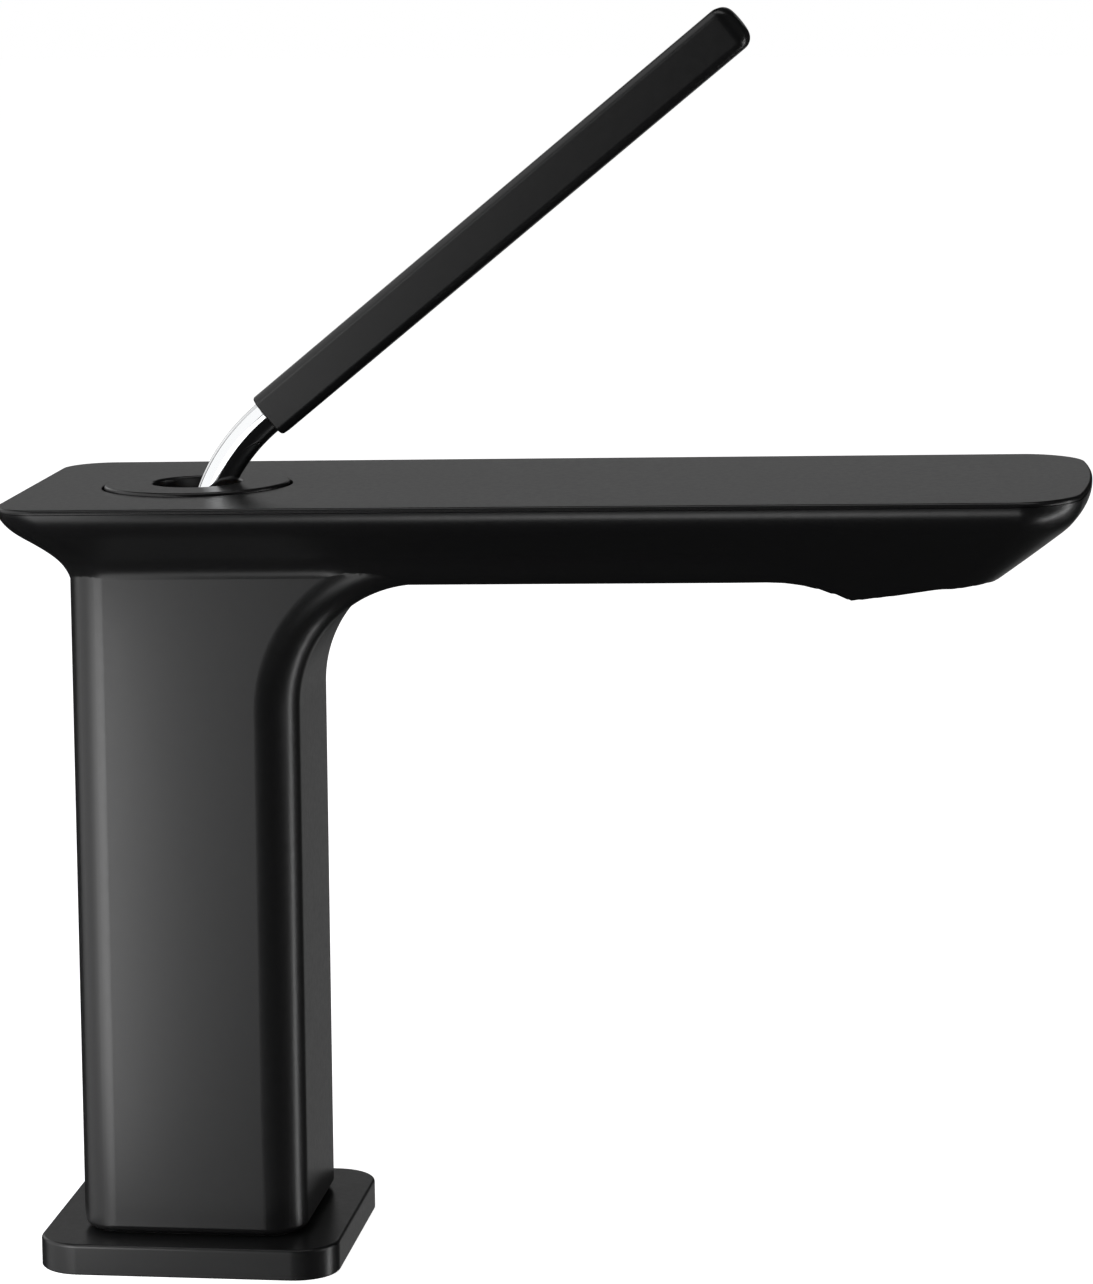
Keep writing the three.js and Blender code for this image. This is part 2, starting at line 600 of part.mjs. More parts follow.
function rosette() {
  const { radius, proud, hole, skirt, skirtInside } = ROSETTE;
  const under = GAP - CHAMBER.recessDepth;
  const ease = 0.5;
  return turned([
    [hole, under], [skirtInside, under], [skirtInside, ROSETTE.skirtEnd], [skirt, ROSETTE.skirtEnd],
    [skirt, under], [radius, under], [radius, proud - ease], [radius - ease, proud],
    [hole + ease, proud], [hole, proud - ease],
  ], 40);
}

add(head, 'cartridge_base', cartridgeBase(), PLASTIC);
for (const { sign, water } of SIDES) {
  const seal = add(head, `seal_${water}`, ring(PORT_SEAL.radius, PORT_SEAL.wire, 16), RUBBER);
  seal.position.set(0, sign * WATER_Y, BASE.bottom + 0.75);
}
add(head, 'cartridge_casing', casing(), PLASTIC);
const casingSeal = add(head, 'cartridge_o_ring', ring(CASING.radius - 0.6, 0.6, 32), RUBBER);
casingSeal.position.z = (CASING.top + CASING.roof) / 2;
add(head, 'fixed_disc', fixedDisc(), CERAMIC);
add(head, 'sliding_disc', slidingDisc(), CERAMIC).position.x = DISC_REST;
add(head, 'disc_carrier', discCarrier(), PLASTIC).position.x = DISC_REST;
add(head, 'swivel_guide', swivelGuide(), PLASTIC);
add(head, 'spindle_pin', pinRod(PIN.radius, PIN.half), STEEL);
add(head, 'cartridge_nut', cartridgeNut(), BRASS);
add(head, 'rosette', rosette(), BLACK);
add(head, 'rosette_o_ring', ring(NUT_RING.neck - 0.4, 0.55, 28), RUBBER).position.z = NUT_RING.groove;

// ---------------------------------------------------------------- lever

// Middle line of the bent stem, from the cartridge up into the grip.
function stemLine() {
  const low = new THREE.Vector3((PIVOT + STEM.bottom) * Math.tan(SPINDLE_TILT), 0, STEM.bottom);
  const high = new THREE.Vector3(GRIP.x, 0, GRIP.z);
  const up = new THREE.Vector3(Math.sin(SPINDLE_TILT), 0, Math.cos(SPINDLE_TILT));
  const along = gripDirection();
  const lowHandle = low.clone().addScaledVector(up, STEM_BEND.lowHandle);
  const highHandle = high.clone().addScaledVector(along, -STEM_BEND.highHandle);
  return new THREE.CubicBezierCurve3(low, lowHandle, highHandle, high.addScaledVector(along, -GAP));
}

function gripDirection() {
  return new THREE.Vector3(Math.cos(GRIP.elevation), 0, Math.sin(GRIP.elevation));
}

function leverStem() {
  const section = new THREE.Shape().absarc(0, 0, STEM.radius, 0, 2 * Math.PI);
  const line = stemLine();
  const options = { extrudePath: line, steps: 11, bevelEnabled: false, curveSegments: 16 };
  const bent = new THREE.ExtrudeGeometry(section, options);
  const end = line.getPoint(1);
  const along = gripDirection();
  const spigotFrom = end.clone().addScaledVector(along, -1);
  const spigotTo = end.clone().addScaledVector(along, STEM.spigotLength);
  const start = line.getPoint(0);
  const up = line.getTangent(0);
  const socketFrom = start.clone().addScaledVector(up, -1);
  const socketTo = start.clone().addScaledVector(up, STEM.socketDepth);
  const screwAt = start.clone().addScaledVector(up, SET_SCREW.height);
  const screwEnd = screwAt.clone().add(new THREE.Vector3(8, 0, 0));
  const screwHole = rodBetween(screwAt, screwEnd, SET_SCREW.radius + GAP, 12);
  const made = join(bent, rodBetween(spigotFrom, spigotTo, STEM.spigot, 16));
  return cut(made, rodBetween(socketFrom, socketTo, STEM.socket, 16), screwHole);
}

// A grub screw along local +X, with a hex socket.
function grubScrew(from, to, radius) {
  const body = rod(radius, from, to, 12);
  return cut(body, rod(radius * 0.5, to - 0.9, to + 1, 6)).rotateY(Math.PI / 2);
}

// One ring of the grip's rounded square section, at a height along it.
function gripRing(height, inset) {
  const share = height / GRIP.length;
  const half = THREE.MathUtils.lerp(GRIP_SECTION.half, GRIP_SECTION.tipHalf, share) - inset;
  const points = roundedRect(half, half, Math.min(GRIP_SECTION.corner, half)).getPoints(4);
  const open = points.filter((p, i) => i === 0 || p.distanceTo(points[i - 1]) > 1e-4);
  return open.map((p) => new THREE.Vector3(p.x, p.y, height));
}

function leverGrip() {
  const { bore, boreDepth, tipRound } = GRIP_SECTION;
  const rings = [gripRing(0, 0.4), gripRing(0.4, 0), gripRing(GRIP.length / 2, 0)];
  for (let i = 0; i <= 4; i++) {
    const a = (i / 4) * (Math.PI / 2.3);
    rings.push(gripRing(GRIP.length - tipRound * (1 - Math.sin(a)), tipRound * (1 - Math.cos(a))));
  }
  const bar = new LoftGeometry(rings, { capStart: true, capEnd: true });
  const screwHole = rod(SET_SCREW.radius + GAP, 0, 8, 12).rotateY(Math.PI / 2).translate(0, 0, SET_SCREW.along);
  return cut(bar, rod(bore, -1, boreDepth, 16), screwHole);
}

const lever = new THREE.Group();
head.add(lever);
const spindleMesh = add(lever, 'spindle', spindle(), BRASS);
spindleMesh.position.z = -PIVOT;
spindleMesh.rotation.y = SPINDLE_TILT;
add(lever, 'lever_stem', leverStem(), CHROME);
const stemStart = stemLine().getPoint(0).addScaledVector(stemLine().getTangent(0), SET_SCREW.height);
const stemScrew = grubScrew(SPINDLE.top + GAP, STEM.radius + 1, SET_SCREW.radius);
add(lever, 'stem_set_screw', stemScrew, STEEL).position.copy(stemStart);

const grip = new THREE.Group();
grip.position.set(GRIP.x, 0, GRIP.z);
grip.rotation.y = Math.PI / 2 - GRIP.elevation;
lever.add(grip);
add(grip, 'lever_grip', leverGrip(), BLACK);
const gripScrew = grubScrew(STEM.spigot + GAP, GRIP_SECTION.half - 0.2, SET_SCREW.radius);
add(grip, 'grip_set_screw', gripScrew, STEEL).position.z = SET_SCREW.along;

// ---------------------------------------------------------------- aerator, drawn with +Z into the spout

function aeratorShell() {
  const { shell, inside, lip, bottom, lipTop, top } = AERATOR;
  const profile = [[lip, bottom], [shell, bottom], [shell, top], [inside, top], [inside, lipTop], [lip, lipTop]];
  return turned(profile, 32);
}

function aeratorInsert() {
  const { radius, bottom, top, cell, cells, circle: reach } = INSERT;
  const tools = [rod(cell, bottom - 1, top + 1, 6)];
  for (let i = 0; i < cells; i++) {
    const a = (i / cells) * 2 * Math.PI;
    tools.push(rod(cell, bottom - 1, top + 1, 6).translate(reach * Math.cos(a), reach * Math.sin(a), 0));
  }
  return cut(rod(radius, bottom, top, 24), ...tools);
}

const screen = sleeve(SCREEN.hole, INSERT.radius, SCREEN.bottom, SCREEN.top);
const restrictor = sleeve(RESTRICTOR.hole, INSERT.radius, RESTRICTOR.bottom, RESTRICTOR.top);
const outletWasher = sleeve(OUTLET_WASHER.hole, AERATOR.shell, OUTLET_WASHER.bottom, OUTLET_WASHER.top);
add(outlet, 'aerator_shell', aeratorShell(), BLACK);
add(outlet, 'aerator_insert', aeratorInsert(), PLASTIC);
add(outlet, 'aerator_screen', screen, STEEL);
add(outlet, 'flow_restrictor', restrictor, PLASTIC);
add(outlet, 'aerator_washer', outletWasher, RUBBER);

export default faucet;
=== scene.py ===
"""Looks of a single-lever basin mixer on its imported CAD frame. Metres, +Z up, +X along the spout."""

import json
import math

import bmesh
import bpy
from bpy.props import FloatProperty, FloatVectorProperty, PointerProperty
from mathutils import Matrix, Vector


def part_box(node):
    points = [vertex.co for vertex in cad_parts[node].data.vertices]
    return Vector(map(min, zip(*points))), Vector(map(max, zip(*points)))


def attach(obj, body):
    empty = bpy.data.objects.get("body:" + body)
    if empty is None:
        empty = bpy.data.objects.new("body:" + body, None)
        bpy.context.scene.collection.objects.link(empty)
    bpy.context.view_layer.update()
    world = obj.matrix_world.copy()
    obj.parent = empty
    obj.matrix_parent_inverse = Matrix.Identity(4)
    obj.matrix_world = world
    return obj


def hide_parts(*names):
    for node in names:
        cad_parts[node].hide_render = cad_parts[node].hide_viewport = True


bl_info = {
    "name": "Basin Mixer",
    "version": (1, 0, 0),
    "blender": (4, 5, 0),
    "location": "View3D > Sidebar > Mixer",
    "description": "Builds a satin black basin mixer with a joystick lever, and a plain studio round it",
    "category": "Add Mesh",
}

MM = 0.001
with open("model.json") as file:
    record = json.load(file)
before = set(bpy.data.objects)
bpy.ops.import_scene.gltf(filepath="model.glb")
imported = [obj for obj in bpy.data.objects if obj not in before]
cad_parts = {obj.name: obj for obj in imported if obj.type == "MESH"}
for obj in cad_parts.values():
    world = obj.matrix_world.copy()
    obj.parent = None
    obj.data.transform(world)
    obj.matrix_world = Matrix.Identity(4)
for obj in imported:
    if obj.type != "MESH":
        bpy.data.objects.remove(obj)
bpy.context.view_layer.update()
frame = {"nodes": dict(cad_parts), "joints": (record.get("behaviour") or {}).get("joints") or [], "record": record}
JOINTS = {joint["name"]: joint for joint in frame["joints"]}


# ---- places worked out from the frame

def frame_of(axis, origin):
    """A frame whose Z runs along axis, in the plane of the spout, at origin."""
    z = Vector(axis).normalized()
    y = Vector((0, 1, 0))
    x = y.cross(z)
    rows = Matrix((x, y, z)).transposed().to_4x4()
    return Matrix.Translation(origin) @ rows


PIVOT_DEPTH = 20 * MM
SWIVEL_AXIS = Vector(JOINTS["temperature_turn"]["axis"]).normalized()
PIVOT = Vector(JOINTS["lever_lift"]["pos_m"])
HEAD = frame_of(SWIVEL_AXIS, PIVOT + PIVOT_DEPTH * SWIVEL_AXIS)
MOUNTS = {mount["name"]: mount for mount in frame["record"]["mounts"]}
OUTLET_MOUNT = MOUNTS["outlet_face"]
OUTLET_POINT = Vector(OUTLET_MOUNT["pos_m"])
OUTLET = frame_of(-Vector(OUTLET_MOUNT["axis"]), Vector((OUTLET_POINT.x, 0, OUTLET_POINT.z)))
PLATE_LOW, PLATE_HIGH = (Vector(corner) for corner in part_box("base_plate"))
BODY_LOW = Vector(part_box("body_shell")[0])


# ---- sizes and colours a user would change

def size(label, about, default):
    """A length that a user can change."""
    return FloatProperty(name=label, description=about, default=default, min=0.0, unit="LENGTH", precision=5)


def tone(label, about, default):
    """A colour that a user can change."""
    return FloatVectorProperty(
        name=label, description=about, default=default, min=0.0, max=1.0, size=3, subtype="COLOR"
    )


def glow(label, about, default):
    """A light's brightness."""
    return FloatProperty(name=label, description=about, default=default, min=0.0)


class MixerBodySizes(bpy.types.PropertyGroup):
    """Sizes of the one-piece body and its spout."""

    column_half: size("Column half width", "Half the width of the square column", 22.6 * MM)
    column_edge: size("Column edge radius", "Rounding of the column and of the arm's lower edges", 8 * MM)
    slab_half: size("Top half width", "Half the width of the flat top", 37.5 * MM)
    slab_back: size("Top back reach", "How far the top reaches behind the column axis", 33.9 * MM)
    slab_tip: size("Top front reach", "How far the top reaches in front of the column axis", 176.3 * MM)
    back_corner: size("Back corner radius", "Plan radius of the top's back corners", 9 * MM)
    tip_corner: size("Tip corner radius", "Plan radius of the top's front corners", 12 * MM)
    tip_bow: size("Tip bow", "How much the front edge bows out in its middle", 3.5 * MM)
    rim: size("Rim radius", "Rounding of the crisp edge round the top", 0.6 * MM)
    underside: size("Arm thickness", "Depth of the arm's underside below the top", 18 * MM)
    inner_fillet: size("Inner fillet", "Radius between the column and the arm", 24.7 * MM)
    foot_edge: size("Foot edge radius", "Rounding of the column's bottom edge", 1.9 * MM)


class MixerTrimSizes(bpy.types.PropertyGroup):
    """Sizes of the plate, the rosette and the outlet."""

    plate_corner: size("Plate corner radius", "Plan radius of the base plate", 8.7 * MM)
    plate_ease: size("Plate edge radius", "Rounding of the base plate's upper edge", 0.7 * MM)
    rosette_radius: size("Rosette radius", "Outer radius of the rosette", 18.4 * MM)
    rosette_hole: size("Rosette hole", "Radius of the hole that the stem moves in", 8.8 * MM)
    rosette_proud: size("Rosette height", "How far the rosette stands above the top", 0.6 * MM)
    cell_pitch: size("Aerator cell", "Distance between the aerator's honeycomb cells", 1.3 * MM)
    wire_pitch: size("Screen mesh", "Distance between the wires of the aerator's screen", 0.55 * MM)


class MixerLeverSizes(bpy.types.PropertyGroup):
    """Sizes of the lever."""

    grip_half: size("Grip half width", "Half the width of the grip at its lower end", 4.6 * MM)
    grip_tip_half: size("Grip tip half width", "Half the width of the grip at its tip", 4.75 * MM)
    grip_corner: size("Grip edge radius", "Rounding of the grip's long edges", 1.7 * MM)
    grip_length: size("Grip length", "Length of the grip", 120.9 * MM)
    stem_radius: size("Stem radius", "Radius of the bent chrome stem", 3.4 * MM)


class MixerFixingSizes(bpy.types.PropertyGroup):
    """Sizes of the fixings under the deck."""

    thread_pitch: size("Thread pitch", "Pitch of the studs' threads", 1 * MM)
    thread_depth: size("Thread depth", "Depth of the studs' threads", 0.45 * MM)
    stud_radius: size("Stud radius", "Outer radius of the studs", 3 * MM)


class MixerColours(bpy.types.PropertyGroup):
    """Base colours of the finishes."""

    black: tone("Black finish", "Satin black coat of the visible parts", (0.010, 0.010, 0.0105))
    chrome: tone("Chrome", "Polished stem", (0.86, 0.87, 0.88))
    brass: tone("Brass", "Machined inner parts and nuts", (0.70, 0.53, 0.27))
    steel: tone("Steel", "Zinc-plated fixings", (0.62, 0.63, 0.64))
    copper: tone("Copper", "Riser tubes", (0.76, 0.42, 0.28))
    rubber: tone("Rubber", "Seals and gaskets", (0.022, 0.022, 0.022))
    plastic: tone("Plastic", "Cartridge and aerator mouldings", (0.78, 0.77, 0.73))
    ceramic: tone("Ceramic", "Cartridge discs", (0.88, 0.87, 0.83))
    floor: tone("Floor", "Plain studio floor", (0.86, 0.86, 0.86))


# ---- mesh helpers

def mesh_object(name, points, faces):
    """A new object at the origin, with its place in its mesh."""
    mesh = bpy.data.meshes.new(name)
    mesh.from_pydata([tuple(p) for p in points], [], faces)
    mesh.validate()
    obj = bpy.data.objects.new(name, mesh)
    bpy.context.scene.collection.objects.link(obj)
    return obj


def facing_out(obj, merge=1e-6):
    """Merges doubles and turns every face of a closed piece outwards."""
    made = bmesh.new()
    made.from_mesh(obj.data)
    bmesh.ops.remove_doubles(made, verts=made.verts, dist=merge)
    bmesh.ops.recalc_face_normals(made, faces=made.faces)
    made.to_mesh(obj.data)
    made.free()
    return obj


def moved(obj, matrix):
    """Moves a piece's mesh and leaves its object at the origin."""
    obj.data.transform(matrix)
    return obj


def loft(name, rings):
    """A closed piece from rings of equally many points, capped at both ends."""
    count = len(rings[0])
    points = [point for ring in rings for point in ring]
    faces = []
    for level in range(len(rings) - 1):
        for i in range(count):
            j = (i + 1) % count
            low, high = level * count, (level + 1) * count
            faces.append((low + i, low + j, high + j, high + i))
    faces.append(tuple(reversed(range(count))))
    faces.append(tuple(range(len(points) - count, len(points))))
    return facing_out(mesh_object(name, points, faces))


def lathe(name, profile, segments=96, place=None):
    """A turned piece about Z. The profile closes on itself unless both its ends are on the axis."""
    closed = not (profile[0][0] == 0 and profile[-1][0] == 0)
    points = [(r * math.cos(a), r * math.sin(a), z) for a in around(segments) for r, z in profile]
    rows = len(profile)
    faces = []
    for i in range(segments):
        j = (i + 1) % segments
        for k in range(rows if closed else rows - 1):
            m = (k + 1) % rows
            faces.append((i * rows + k, j * rows + k, j * rows + m, i * rows + m))
    obj = facing_out(mesh_object(name, points, faces))
    return moved(obj, place) if place else obj


def in_mm(profile):
    """A profile written in millimetres, in metres."""
    return [(r * MM, z * MM) for r, z in profile]


def eased(profile, ease, steps):
    """The closed profile with each corner rounded by ease, or less where a side is short."""
    made = []
    count = len(profile)
    for i, corner in enumerate(profile):
        here = Vector(corner)
        before = Vector(profile[i - 1]) - here
        after = Vector(profile[(i + 1) % count]) - here
        reach = min(ease, before.length * 0.45, after.length * 0.45)
        start, end = here + before.normalized() * reach, here + after.normalized() * reach
        for k in range(steps + 1):
            t = k / steps
            made.append(tuple(start * (1 - t) ** 2 + here * 2 * t * (1 - t) + end * t * t))
    return made


def around(sides):
    """Angles of a full turn in equal steps."""
    return [2 * math.pi * k / sides for k in range(sides)]


def turned(name, profile, ease, segments, place=None, steps=3):
    """A turned piece with eased corners, from a profile and an ease in millimetres."""
    return lathe(name, eased(in_mm(profile), ease * MM, steps), segments, place)


def torus(name, radius, wire, place, segments=64, sides=16):
    """A ring of round section."""
    circle = [(radius + wire * math.cos(a), wire * math.sin(a)) for a in around(sides)]
    return lathe(name, circle, segments, place)


def rounded_rect(half_x, half_y, radius, steps=12):
    """Outline of a rounded rectangle, counter-clockwise."""
    points = []
    for corner, (sx, sy) in enumerate([(1, 1), (-1, 1), (-1, -1), (1, -1)]):
        for k in range(steps + 1):
            a = math.pi / 2 * (corner + k / steps)
            x = sx * (half_x - radius) + radius * math.cos(a)
            y = sy * (half_y - radius) + radius * math.sin(a)
            points.append((x, y))
    return points


def at_height(outline, z):
    """A flat outline as points at one height."""
    return [(x, y, z) for x, y in outline]


def prism(name, outline, low, high, place=None):
    """An upright piece of one outline between two heights."""
    obj = loft(name, [at_height(outline, low), at_height(outline, high)])
    return moved(obj, place) if place else obj


def rod_between(name, start, end, radius, segments=32):
    """A round rod between two points."""
    axis = end - start
    place = Matrix.Translation(start) @ axis.to_track_quat("Z", "Y").to_matrix().to_4x4()
    profile = [(0, 0), (radius, 0), (radius, axis.length), (0, axis.length)]
    return lathe(name, profile, segments, place)


def baked(obj):
    """Replaces a piece's mesh by its evaluated one and drops its modifiers."""
    depsgraph = bpy.context.evaluated_depsgraph_get()
    mesh = bpy.data.meshes.new_from_object(obj.evaluated_get(depsgraph), depsgraph=depsgraph)
    obj.modifiers.clear()
    old = obj.data
    obj.data = mesh
    bpy.data.meshes.remove(old)
    return obj


def combine(obj, tools, operation):
    """Joins or cuts a piece with others, which are used up."""
    for tool in tools:
        modifier = obj.modifiers.new("Combine", "BOOLEAN")
        modifier.operation = operation
        modifier.solver = "EXACT"
        modifier.object = tool
        baked(obj)
        bpy.data.objects.remove(tool)
    return obj


def shaded(obj, angle=32):
    """Smooth faces, sharp edges past an angle in degrees, and normals that favour the large faces."""
    mesh = obj.data
    mesh.shade_smooth()
    mesh.set_sharp_from_angle(angle=math.radians(angle))
    modifier = obj.modifiers.new("Weighted", "WEIGHTED_NORMAL")
    modifier.keep_sharp = True
    modifier.weight = 80
    return baked(obj)


def finished(obj, body, slot, *nodes):
    """Gives a piece its body and its slot with that slot's finish, and hides the CAD nodes that it stands for."""
    obj.data.materials.clear()
    obj.data.materials.append(FINISHES[slot])
    for face in obj.data.polygons:
        face.material_index = 0
    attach(obj, body)
    if nodes:
        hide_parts(*nodes)
    return obj


# ---- finishes

NOISE_LOW, NOISE_HIGH = 0.3, 0.7
EVEN, TURNED, DRAWN = (1, 1, 1), (1, 1, 6), (6, 6, 1)  # how a pattern is stretched along the axes


def shader(name, color, roughness, metallic=0.0, specular=0.5):
    """A node material with constants on the shader's own sockets."""
    material = bpy.data.materials.new(name)
    material.use_nodes = True
    principled = material.node_tree.nodes["Principled BSDF"]
    principled.inputs["Base Color"].default_value = (*color, 1)
    principled.inputs["Roughness"].default_value = roughness
    principled.inputs["Metallic"].default_value = metallic
    principled.inputs["Specular IOR Level"].default_value = specular
    return material


def linked(tree, kind, **values):
    """A new node with its inputs set by name."""
    node = tree.nodes.new(kind)
    for key, value in values.items():
        node.inputs[key].default_value = value
    return node


def object_noise(tree, scale, detail=3.0, stretch=EVEN):
    """Noise on object coordinates, stretched along the axes."""
    coordinates = tree.nodes.new("ShaderNodeTexCoord")
    mapping = tree.nodes.new("ShaderNodeMapping")
    mapping.inputs["Scale"].default_value = stretch
    tree.links.new(coordinates.outputs["Object"], mapping.inputs["Vector"])
    noise = linked(tree, "ShaderNodeTexNoise", Scale=scale, Detail=detail)
    tree.links.new(mapping.outputs["Vector"], noise.inputs["Vector"])
    return noise


def ranged(tree, source, low, high):
    """The noise's middle range spread between two values."""
    ends = {"From Min": NOISE_LOW, "From Max": NOISE_HIGH, "To Min": low, "To Max": high}
    spread = linked(tree, "ShaderNodeMapRange", **ends)
    tree.links.new(source, spread.inputs["Value"])
    return spread.outputs["Result"]


def tinted(material, scale, dark, light):
    """Colour that drifts a little between two shades of the base colour."""
    tree = material.node_tree
    principled = tree.nodes["Principled BSDF"]
    base = principled.inputs["Base Color"].default_value[:3]
    ramp = tree.nodes.new("ShaderNodeValToRGB")
    for stop, position, share in zip(ramp.color_ramp.elements, (NOISE_LOW, NOISE_HIGH), (dark, light)):
        stop.position = position
        stop.color = (*(min(1, c * share) for c in base), 1)
    tree.links.new(object_noise(tree, scale).outputs["Fac"], ramp.inputs["Fac"])
    tree.links.new(ramp.outputs["Color"], principled.inputs["Base Color"])


def textured(material, scale, low, high, bump, depth, stretch):
    """Roughness that varies between low and high, and a fine relief of the given depth."""
    tree = material.node_tree
    principled = tree.nodes["Principled BSDF"]
    patches = object_noise(tree, scale, stretch=stretch)
    tree.links.new(ranged(tree, patches.outputs["Fac"], low, high), principled.inputs["Roughness"])
    grain = object_noise(tree, bump, detail=2.0, stretch=stretch)
    relief = linked(tree, "ShaderNodeBump", Strength=1.0, Distance=depth)
    tree.links.new(grain.outputs["Fac"], relief.inputs["Height"])
    tree.links.new(relief.outputs["Normal"], principled.inputs["Normal"])


# slot: name, colour, (roughness, metallic, specular), (drift scale, darkest, lightest),
# (patch scale, least roughness, most roughness, grain scale, relief in mm), stretch of the pattern
FINISH_TABLE = {
    "black_finish": (
        "satin_black_coat", "black", (0.4, 0, 0.5), (400, 0.94, 1.06), (900, 0.29, 0.33, 3500, 0.004), EVEN,
    ),
    "chrome": ("polished_chrome", "chrome", (0.05, 1, 0.5), None, (300, 0.035, 0.07, 500, 0.0008), EVEN),
    "brass": (
        "machined_brass", "brass", (0.3, 1, 0.5), (150, 0.9, 1.05), (400, 0.22, 0.36, 1800, 0.003), TURNED,
    ),
    "steel": (
        "zinc_plated_steel", "steel", (0.35, 1, 0.5), (200, 0.9, 1.06), (500, 0.28, 0.42, 2000, 0.004), EVEN,
    ),
    "copper": (
        "drawn_copper", "copper", (0.28, 1, 0.5), (120, 0.88, 1.06), (300, 0.2, 0.34, 1500, 0.003), DRAWN,
    ),
    "rubber": (
        "moulded_rubber", "rubber", (0.75, 0, 0.3), (300, 0.8, 1.25), (500, 0.68, 0.82, 2500, 0.01), EVEN,
    ),
    "cartridge_plastic": (
        "moulded_plastic", "plastic", (0.45, 0, 0.45), (120, 0.96, 1.02), (300, 0.4, 0.5, 3000, 0.004), EVEN,
    ),
    "ceramic": (
        "lapped_ceramic", "ceramic", (0.18, 0, 0.6), (200, 0.97, 1.02), (500, 0.12, 0.24, 2500, 0.001), EVEN,
    ),
}
FINISHES = {}


def make_finishes(colours):
    """Fills FINISHES with every finish of the mixer, by slot."""
    for slot, (name, colour, base, drift, texture, stretch) in FINISH_TABLE.items():
        roughness, metallic, specular = base
        material = shader(name, getattr(colours, colour), roughness, metallic, specular)
        if drift:
            tinted(material, *drift)
        scale, low, high, grain, relief = texture
        textured(material, scale, low, high, grain, relief * MM, stretch)
        FINISHES[slot] = material


# ---- body

def soft_max(a, b, width):
    """max with a rounded blend of the given width."""
    h = max(width - abs(a - b), 0) / width
    return max(a, b) + h * h * width / 4


def soft_min(a, b, width):
    """min with a rounded blend of the given width."""
    return -soft_max(-a, -b, width)


def smoothstep(x, low, high):
    """0 at low and 1 at high, whichever is the larger, with an eased run between."""
    t = min(max((x - low) / (high - low), 0), 1)
    return t * t * (3 - 2 * t)


# Flare of the slab's sides: the fall for each unit inwards, and the depth at which it starts
SIDE_SLOPE, SIDE_START = 0.7536, 3.32 * MM
TIP_SLOPE, TIP_START = 0.794, 4.43 * MM
SIDE_STRETCH, BACK_STRETCH = 1.11, 0.843
FLARE_BLEND = 4.5 * MM
SIDE_FOOT_BLEND, BACK_FOOT_BLEND = 4 * MM, 7 * MM
FLARE_TOP, FLARE_STEP, FLARE_STEPS = 1.3 * MM, 0.4 * MM, 54
# Depths down to which the flare goes behind the column, beside it and at the tip
BACK_DEPTH, COLUMN_DEPTH, TIP_DEPTH = 20 * MM, 16.2 * MM, 22.6 * MM
BACK_REACH = 12 * MM
TIP_CORNER_BELOW = 6 * MM
BLEND_SKIN = 0.03 * MM  # how far the flare's foot lies inside the walls
# Stretch over which the column's sides turn into the arm's, and where the arm and its boss are
ARM_START, ARM_FULL, ARM_END = 28 * MM, 40 * MM, 154.3 * MM
ARM_DELAY = 4 * MM
ARM_TOP = -1 * MM
BOSS_START, BOSS_RUN, BOSS_FADE = 114 * MM, 7 * MM, 10 * MM
BOSS_HANDLE_X, BOSS_HANDLE_Z = -5 * MM, 2 * MM  # from the outlet's near edge
BOSS_TAPER, TAPER_START, TAPER_END = 0.55, 108 * MM, 126 * MM
OUTLET_HALF, OUTLET_LIP = 10.7 * MM, 1 * MM
COLUMN_BELOW, COLUMN_STRAIGHT = 8 * MM, 22 * MM  # drawn below the foot, and straight above it
# Points along the slab's edges: across the tip, and along each side from the boss to the back
TIP_STEPS = 8
SIDE_STATIONS = [BOSS_START + 3 * MM * k for k in range(8, -5, -1)] + [85 * MM, 66 * MM]
SIDE_STATIONS += [(46 - k) * MM for k in range(21)] + [12 * MM, 0, -BACK_REACH / 2, -BACK_REACH]
# Shadow line under the rim: depth and inset, in millimetres
RIM_GROOVE = ((0.62, 0.12), (0.72, 0.22), (0.92, 0.22), (1.02, 0.12), (1.04, 0))


def flare_inset(depth, slope, start, stretch=1.0, wall=None, foot=SIDE_FOOT_BLEND):
    """How far the slab's side stands in from its rim at a depth below the top face."""
    inset = soft_max((depth - start) * stretch / slope, 0, FLARE_BLEND)
    return inset if wall is None else soft_min(inset, wall, foot)


def corner_arc(x, top, radius, start, steps):
    """A quarter circle that touches the line y = top, from a start angle."""
    angles = [start + math.pi / 2 * k / steps for k in range(steps + 1)]
    return [(x + radius * math.cos(a), top - radius + radius * math.sin(a)) for a in angles]


def bezier(points, steps):
    """Points of a cubic curve, both ends included."""
    made = []
    for k in range(steps + 1):
        t = k / steps
        weights = ((1 - t) ** 3, 3 * t * (1 - t) ** 2, 3 * t * t * (1 - t), t**3)
        made.append(sum((p * w for p, w in zip(points, weights)), points[0] * 0))
    return made


def boss_line(sizes):
    """The arm's underside past the inner fillet, as (x, z) in the head frame, out to the arm's end."""
    inverse = HEAD.inverted()
    near, end = (inverse @ (OUTLET @ Vector((x, 0, -OUTLET_LIP))) for x in (-OUTLET_HALF, OUTLET_HALF))
    slope = (end.z - near.z) / (end.x - near.x)
    curve = [
        Vector((BOSS_START, -sizes.underside)),
        Vector((BOSS_START + BOSS_RUN, -sizes.underside)),
        Vector((near.x + BOSS_HANDLE_X, near.z + BOSS_HANDLE_Z)),
        Vector((near.x - MM, near.z - MM * slope)),
    ]
    return bezier(curve, 14) + [Vector((ARM_END, near.z + slope * (ARM_END - near.x)))]


def under_depth(line, x):
    """Depth of the arm's underside at x, carried on past its end."""
    if x <= line[0].x:
        return -line[0].y
    pairs = list(zip(line, line[1:]))
    low, high = next((pair for pair in pairs if x <= pair[1].x), pairs[-1])
    return -(low.y + (high.y - low.y) * (x - low.x) / (high.x - low.x))


